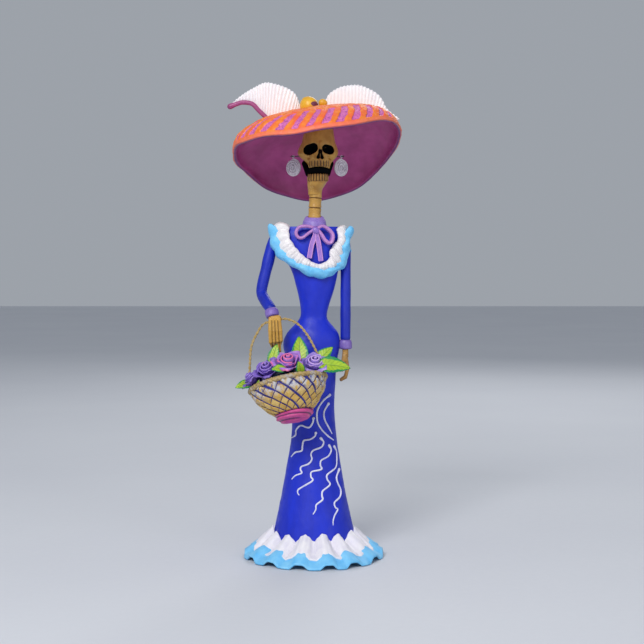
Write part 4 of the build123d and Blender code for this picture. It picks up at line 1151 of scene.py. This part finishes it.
def make_weave():
    """The woven layer: slanting pads of straw with dark blue gaps between them."""
    count, turn = 16, 1.05
    v = np.linspace(0, 1, 140)[:, None]
    angle = once_round(900)
    height = -22.2 + 23.0 * v
    wall = np.interp(height, WALL[:, 1], WALL[:, 0])
    around = level(wall, angle, height)
    bend = turn * (v + 0.08 * np.sin(math.pi * v))
    one = (angle + bend) * count / (2 * math.pi) + 0.16 * lumps(around, 9, 112)
    other = (angle - bend) * count / (2 * math.pi) + 0.16 * lumps(around, 9, 113)
    edge_one, edge_other = (0.5 - np.abs(way - np.floor(way) - 0.5) for way in (one, other))
    widen = 1.1 + 0.8 * lumps(around, 8, 114) + 0.5 * smooth(-10, -1, height)
    pad = smooth(0.07 * widen, 0.07 * widen + 0.10, edge_one) * smooth(0.015, 0.13, edge_other)
    pillow = 0.75 + 0.25 * (1 - (1 - 2 * edge_one) ** 2) * (1 - (1 - 2 * edge_other) ** 2)
    share = smooth(0, 0.03, v) * (1 - 0.5 * smooth(0.97, 1.0, v))
    radius = wall + (1.45 * pad * pillow + 0.25 * lumps(around, 3, 115)) * share
    outer = level(radius, angle, height)
    inner = level(wall[::-1] - 0.5, angle, height[::-1])
    masks = {
        "gap": 1 - smooth(0.05 * widen, 0.05 * widen + 0.06, edge_one) * smooth(0.01, 0.05, edge_other),
        "silver": np.broadcast_to(smooth(-13, -4, height), one.shape),
        "tone": 0.5 + 0.5 * np.sin(2.4 * np.floor(one) + 4.1 * np.floor(other)),
    }
    shape = Shape().grid(in_basket(np.concatenate([outer, inner])), wrap_rows=True, wrap_columns=True,
                         **{name: np.concatenate([mask, 0 * mask]) for name, mask in masks.items()})
    paint = Paint("straw_paint", "d9b050", "bb9038", rough=0.5, size=5)
    paint.over(paint.math("MULTIPLY", paint.mask("tone"), 0.35), "e9cf84")
    brush = paint.ramped(paint.noise(2.6, (1, 1, 2.4), detail=5), 0.40, 0.56)
    stain = paint.ramped(paint.noise(3.2, detail=5), 0.55, 0.66)
    for marks, most, colour in ((brush, 1.0, "c4c4ca"), (stain, 0.8, "2a2c86")):
        above = paint.ramped(paint.mask("silver"), 0.0, 1.0, 0.05, most)
        paint.over(paint.math("MULTIPLY", marks, above), colour)
    paint.masked("gap", "26268c", ragged=0.15)
    # painted shade: dark blue-violet in the hollows between the pads
    paint.shade_in_hollows("2b2768", 0.8, 0.43, 0.5)
    place(shape.object("weave_form"), paint.finished(bump=0.45), "basket", ("basket_weave",))


def make_braid():
    """The rim: three fat strands plaited round the mouth."""
    shape = Shape()
    angle = once_round(620).T
    section = once_round(12)
    for strand in range(3):
        phase = 17 * angle + 2 * math.pi * strand / 3
        radius = 30.6 + 0.85 * np.sin(phase)
        height = 1.5 + 0.75 * np.sin(2 * phase + 0.4)
        thick = 1.4 + 0.3 * lumps(in_basket(level(radius, angle, height)), 5, 117 + strand)
        tube = level(radius + thick * np.cos(section), angle, height + thick * np.sin(section))
        shape.grid(in_basket(tube), wrap_rows=True, wrap_columns=True)
    paint = Paint("braid_paint", "d9bd70", "bd9a4c", rough=0.5, size=5)
    paint.over(paint.ramped(paint.noise(6, detail=5), 0.5, 0.66, 0.0, 0.8), "cfcdcc")
    paint.over(paint.ramped(paint.noise(3.2, detail=4), 0.62, 0.7, 0.0, 0.6), "4a4890")
    # painted shade: dark grey-violet in the hollows between the strands
    paint.shade_in_hollows("4a3c50", 0.6, 0.43, 0.5)
    place(shape.object("braid_form"), paint.finished(bump=0.4), "basket",
          ("basket_rim_braid",))


def make_foot():
    """The pink foot, wound like a coil."""
    angle = once_round(240)
    profile = curve([(0.3, -22.6), (14.4, -22.6), (15.2, -23.6), (14.8, -25.4), (12.6, -27.6), (8.6, -29.4),
                     (0.3, -30.2)], 120)
    coil = 2 * math.pi * profile[:, 1:] / 3.4 + 2 * angle
    ridge = (0.5 + 0.5 * np.cos(coil)) ** 0.7
    share = smooth(5, 11, profile[:, :1])
    radius = profile[:, :1] + 1.0 * (ridge - 0.6) * share
    local = level(radius, angle, profile[:, 1:] - 0.35 * (ridge - 0.5) * share)
    local += 0.2 * lumps(local, 4, 119)[..., None]
    shape = Shape().grid(in_basket(local), wrap_columns=True, caps=True, groove=(1 - ridge) * share)
    paint = Paint("foot_paint", "e05a9c", "c03a80", rough=0.45, size=4)
    # Painted shade: dark plum in the grooves of the coil, then a darker tone in the hollows.
    paint.over(paint.ramped(paint.mask("groove"), 0.55, 0.85, 0.0, 0.85), "4a1f52")
    place(shape.object("foot_form"), paint.shade_in_hollows("3a1a48", 0.5).finished(bump=0.3), "basket",
          ("basket_foot",))


def make_handle():
    """Two thin strands twisted into an arch."""
    across, height = np.array([
        (-30.6, 3), (-30.4, 9), (-27.2, 25), (-23.3, 40), (-16.5, 50.8), (-9.5, 57.6), (-0.2, 57.9),
        (9, 57.6), (17.5, 51.2), (23.4, 40), (27.6, 25), (30.4, 9), (30.6, 3)]).T
    lean = 0.214 * np.maximum(height - 9, 0)  # it leans back above its feet
    world = in_basket(curve(np.stack([across, lean, height], -1), 520))
    across, upward = frames(world, BASKET_BACK)
    shape = Shape()
    for strand in range(2):
        twist = travelled(world) * 2 * math.pi / 8.0 + math.pi * strand
        path = world + 0.5 * (np.cos(twist)[:, None] * across + np.sin(twist)[:, None] * upward)
        shape.tube(path, 0.62 + 0.05 * lumps(path, 3, 121), sides=10, up=BASKET_BACK)
    paint = Paint("handle_paint", "e8d29a", "d2b468", rough=0.5, size=4)
    paint.over(paint.ramped(paint.noise(6, detail=3), 0.62, 0.72, 0.0, 0.5), "8a7448")
    # painted shade: dark ochre in the hollows between the strands
    paint.shade_in_hollows("7a5a28", 0.6)
    place(shape.object("handle_form"), paint.finished(bump=0.3), "basket", ("basket_handle",))


def make_filler():
    """The dark mound that the flowers are stuck in."""
    share = np.linspace(0.01, 1, 44)[:, None]
    dome = level(26.6 * share, once_round(160), 11.0 - 12.2 * share ** 3)
    dome[..., 2] += 1.1 * lumps(dome, 5, 123) * (1 - share ** 6)
    bottom = dome[::-1] * [1, 1, 0] - [0, 0, 3.2]
    shape = Shape().grid(in_basket(np.concatenate([dome, bottom])), wrap_columns=True, caps=True)
    paint = Paint("filler_paint", "2c2464", "1b3a34", rough=0.6, size=6)
    # painted shade: near-black in the hollows of the mound
    paint.shade_in_hollows("0d0a26", 0.7)
    place(shape.object("filler_form"), paint.finished(bump=0.4), "basket", ("basket_filler",))


# ---------------------------------------------------------------- flowers and leaves
def petal(shape, base, out, up, wide, tall, cup, curl, offset, seed):
    """One rounded petal growing from base, leaning out and curling back at its lip."""
    t = np.linspace(0, 1, 16)[:, None]
    c = np.linspace(-1, 1, 21)[None, :]
    spread = np.sin(np.clip(t * 1.25 + 0.16, 0, 1.41) * math.pi / 2) * (1 - 0.42 * smooth(0.7, 1.0, t))
    height = tall * t * (1 - 0.18 * np.abs(c) ** 2.4) - 0.9 * curl * tall * smooth(0.72, 1.0, t) ** 2
    wave = 0.06 * tall * t ** 2 * np.sin(3.0 * c * math.pi / 2 + seed)
    lean = cup * tall * np.sin(t * math.pi * 0.62) + curl * tall * smooth(0.6, 1.0, t) ** 1.5 + wave
    reach = offset + lean - wide * 0.55 * c ** 2 * (1 - 0.35 * t)
    sheet = base + np.stack([c * wide * spread, height, reach], -1) @ np.stack([np.cross(up, out), up, out])
    normal = unit(np.cross(np.gradient(sheet, axis=1), np.gradient(sheet, axis=0)))
    half = 0.85 * (0.5 + 0.12 * smooth(0.75, 1.0, t)) * (1 - 0.55 * np.maximum(np.abs(c) ** 8, t ** 9))
    lift = normal * half[..., None]
    lip = np.maximum(smooth(0.72, 0.97, t) * (1 - 0.3 * np.abs(c)),
                     smooth(0.8, 1.0, np.abs(c)) * smooth(0.25, 0.6, t))
    # deep marks the petal's foot, which gets the painted shade
    deep = 1 - smooth(0.1, 0.6, t)
    shape.grid(both_sides(sheet + lift, sheet - lift), wrap_columns=True, caps=True, lip=both_sides(lip, lip),
               deep=deep)


def rose(local, radius, toward, seed):
    """A rose of rolled paper: a spiral bud wrapped in broad petals."""
    up = unit(toward)
    first = unit(np.cross(up, [0.3, 0.2, 1.0]))
    plane = np.stack([first, np.cross(up, first)])

    def spoke(angle):
        return np.stack([np.cos(angle), np.sin(angle)], -1) @ plane

    shape = Shape()
    base = in_basket(local) - up * radius * 0.62
    turns = np.linspace(0, 1, 150)[:, None]
    twist = 0.8 * seed
    out = spoke(twist + 2 * math.pi * 2.3 * turns[:, 0])
    reach = radius * (0.05 + 0.58 * turns)
    low = base + out * reach * 0.75 + up * radius * 0.2
    high = base + out * reach + up * radius * (1.34 - 0.42 * turns ** 1.5)
    t = np.linspace(0, 1, 9)[None, :, None]
    bulge = out[:, None] * radius * 0.08 * np.sin(math.pi * t)
    sheet = low[:, None] * (1 - t) + high[:, None] * t + bulge
    lift = out[:, None] * (0.04 * radius + 0.2)
    # deep marks the bud's lower part, which gets the painted shade
    lip, deep = smooth(0.8, 1.0, t[..., 0]), 1 - smooth(0.2, 0.7, t[..., 0])
    shape.grid(both_sides(sheet + lift, sheet - lift), wrap_columns=True, caps=True, lip=both_sides(lip, lip),
               deep=both_sides(deep, deep))
    rings = ((4, 0.62, 1.05, 0.30, 0.16), (5, 0.68, 1.0, 0.50, 0.36))  # petals, width, height, cup, curl
    for ring, (count, wide, tall, cup, curl) in enumerate(rings):
        for k in range(count):
            out = spoke(twist + 2 * math.pi * (k + 0.5 * ring) / count + 0.5 * ring)
            size = radius * (1 + 0.1 * math.sin(seed + 3.1 * k + ring))
            foot = base + out * radius * (0.22 + 0.10 * ring) - up * radius * 0.05 * ring
            petal(shape, foot, out, up, size * wide, size * tall, cup, curl, radius * (0.16 + 0.10 * ring),
                  seed + k + 5 * ring)
    return shape


def make_roses():
    """Four roses in front and two behind."""
    front = -BASKET_BACK * 1.1 + BASKET_UP * 0.9
    dark = ("7c5fc0", "5a429e", "9c80d2", "33236e")
    # the fourth petal colour is the painted shade deep in the flower
    flowers = {  # place, radius, facing, petal paint with its shade, lip and depth, slot
        "rose_pink": ((4.5, -16.5, 16.5), 9.4, front + 0.2 * BASKET_ACROSS,
                      ("b98ad8", "9a6cc8", "f0709c", "5c3aa4"), "rose_pink"),
        "rose_lilac": ((25.0, -11, 11.4), 9.2, front + 0.25 * BASKET_ACROSS,
                       ("a98fdc", "8e74cc", "d2b0ea", "4c3796"), "rose_lilac"),
        "rose_orange": ((-13.5, -13, 15), 8.6, front - 0.2 * BASKET_ACROSS,
                        ("8a6cca", "6a4fb4", "a184d8", "3c2a88"), "rose_orange"),
        "rose_violet": ((-27.5, -7.5, 11.2), 8.0, BASKET_UP - 0.8 * BASKET_ACROSS - 0.3 * BASKET_BACK, dark,
                        "rose_violet"),
        "rose_back_left": ((-12, 12, 13), 8.6, BASKET_UP + 0.5 * BASKET_BACK - 0.3 * BASKET_ACROSS, dark,
                           "rose_violet"),
        "rose_back_right": ((11, 11.5, 13), 8.6, BASKET_UP + 0.5 * BASKET_BACK + 0.3 * BASKET_ACROSS,
                            ("9f82d4", "8266c4", "c6a2e2", "4c3796"), "rose_lilac"),
    }
    for seed, (name, (local, radius, toward, colours, slot)) in enumerate(flowers.items(), 1):
        base, shade, lip, deep = colours
        shape = rose(local, radius, toward, seed)
        paint = Paint(name + "_paint", base, shade, rough=0.45, coat=0.08, size=4)
        # Painted shade: the darker colour deep in the flower, at the feet of the petals.
        paint.over(paint.ramped(paint.mask("deep"), 0.3, 1.0, 0.0, 0.8), deep)
        paint.over(paint.ramped(paint.mask("lip"), 0.45, 0.8, 0.0, 0.85), lip)
        if name == "rose_orange":
            away = np.vstack(shape.points) - in_basket((-16.6, -16.0, 22.8))
            shape.masks["spot"] = [1 - smooth(2.6, 4.4, np.linalg.norm(away, axis=-1))]
            paint.over(paint.mask("spot"), "ef8a5c")
        place(shape.object(name + "_form", 1), paint.finished(bump=0.25), "basket", (name,))


def leaf(root, tip, half, droop):
    """A pointed leaf between two points, dished along its midrib, with side veins."""
    root, tip = in_basket(root), in_basket(tip)
    length = np.linalg.norm(tip - root)
    forward = unit(tip - root)
    face = square_to(np.array([0.0, -0.75, 0.65]), forward)
    t = np.linspace(0, 1, 46)[:, None]
    c = np.linspace(-1, 1, 31)[None, :]
    outline = np.sin(math.pi * t ** 0.72).clip(0) ** 0.8 * (1 - 0.12 * t) + 0.05 * (1 - t)
    across = c * half * outline * (1 + 0.035 * np.sin(t * 2 * math.pi * 9) * (t > 0.08))
    dish = 0.16 * half * np.abs(c) ** 1.6 * outline
    arch = -droop * length * t ** 2 + 0.05 * length * np.sin(math.pi * t)
    vein_phase = (t - 0.20 * np.abs(c)) * 8.0
    vein = bell((vein_phase - np.round(vein_phase)) / 0.14) * (t > 0.04) * (t < 0.93)
    midrib = bell(c / 0.07)
    rib = np.maximum(midrib, vein * 0.7 * (np.abs(c) < 0.86))
    sheet = root + forward * (t * length)[..., None] + np.cross(forward, face) * across[..., None]
    sheet = sheet + face * (dish + arch)[..., None]
    thick = 0.55 * (1 - 0.5 * np.abs(c) ** 6) * np.clip(outline * 3, 0.35, 1)
    front = sheet + face * (thick - 0.3 * rib)[..., None]
    back = sheet - face * (thick + 0.15 * midrib)[..., None]
    edge = np.maximum(smooth(0.5, 0.95, np.abs(c)), smooth(0.88, 1.0, t))
    return Shape().grid(both_sides(front, back), wrap_columns=True, caps=True, vein=both_sides(rib, 0 * rib),
                        edge=both_sides(edge, 0 * edge + 0.9))


def make_leaves():
    """Nine leaves between and beside the roses."""
    paint = Paint("leaf_paint", "b8d430", "8fb526", rough=0.42, coat=0.1, size=4)
    paint.over(paint.ramped(paint.mask("vein"), 0.3, 0.8, 0.0, 0.6), "57802a")
    paint.masked("edge", "1f8a48", ragged=0.45, size=5)
    # painted shade: dark green in the hollows of the leaves
    paint.shade_in_hollows("1e5a2c", 0.5)
    material = paint.finished(bump=0.3)
    leaves = {  # root, tip, half width, droop
        "leaf_front_right": ((27, -13, 9), (52, -9, 0.5), 8.0, -0.03),
        "leaf_right": ((26, 4, 14), (42, 6, 25), 5.8, 0.03),
        "leaf_top": ((13, 1, 14), (16.9, 4, 39.6), 7.0, 0.02),
        "leaf_hand": ((-9.5, -8, 18), (-1.5, -6, 34.5), 4.8, 0.0),
        "leaf_far_left": ((-28, -7, 7), (-41, -14, 5.5), 4.5, 0.05),
        "leaf_low_left": ((2, -20, 9.5), (-9.5, -25, 10.8), 4.2, 0.0),
        "leaf_low_middle": ((13, -20, 3.5), (13, -25.5, 12.5), 3.8, 0.0),
        "leaf_back_left": ((-17, 17, 10), (-31, 25, 15), 5.8, 0.1),
        "leaf_back_middle": ((12, 17, 10), (4, 24, 18), 4.9, 0.1),
    }
    for name, measures in leaves.items():
        place(leaf(*measures).object(name + "_form"), material, "basket", (name,))


# ================================================================ what stays as the CAD made it
def finish_cad_nodes():
    """Gives the base board and the wires their materials."""
    board = Paint("board_paint", "9a8566", "85714f", rough=0.8, size=6).finished(bump=0.5)
    wire = Paint("wire_paint", "8d8f94", "6c6e74", rough=0.4, size=3)
    wire.shader.inputs["Metallic"].default_value = 0.9
    steel = wire.finished(bump=0.15)
    # Painted shade: the silver ear wires are painted a dark mauve, as they sit in the hat's shadow.
    ear = Paint("shaded_ear_wire_paint", "6d5560", "54404c", rough=0.4, size=2)
    ear.shader.inputs["Metallic"].default_value = 0.6
    silver = ear.finished(bump=0.1)
    kept = {
        "base_plate": (board, "base_board"), "spine_wire": (steel, "armature_wire"),
        "arm_wire": (steel, "armature_wire"),
        "ear_wire_left": (silver, "earring_silver"), "ear_wire_right": (silver, "earring_silver"),
    }
    for name, (material, slot) in kept.items():
        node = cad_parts[name]
        node.data.materials.clear()
        node.data.materials.append(material)


make_stage()
make_dress()
make_squiggles()
make_hem()
make_collar()
make_sleeves()
make_cuffs()
make_neck_band()
make_bow()
make_hat()
make_plumes()
make_head()
make_earrings()
make_hands()
make_basket()
make_roses()
make_leaves()
finish_cad_nodes()
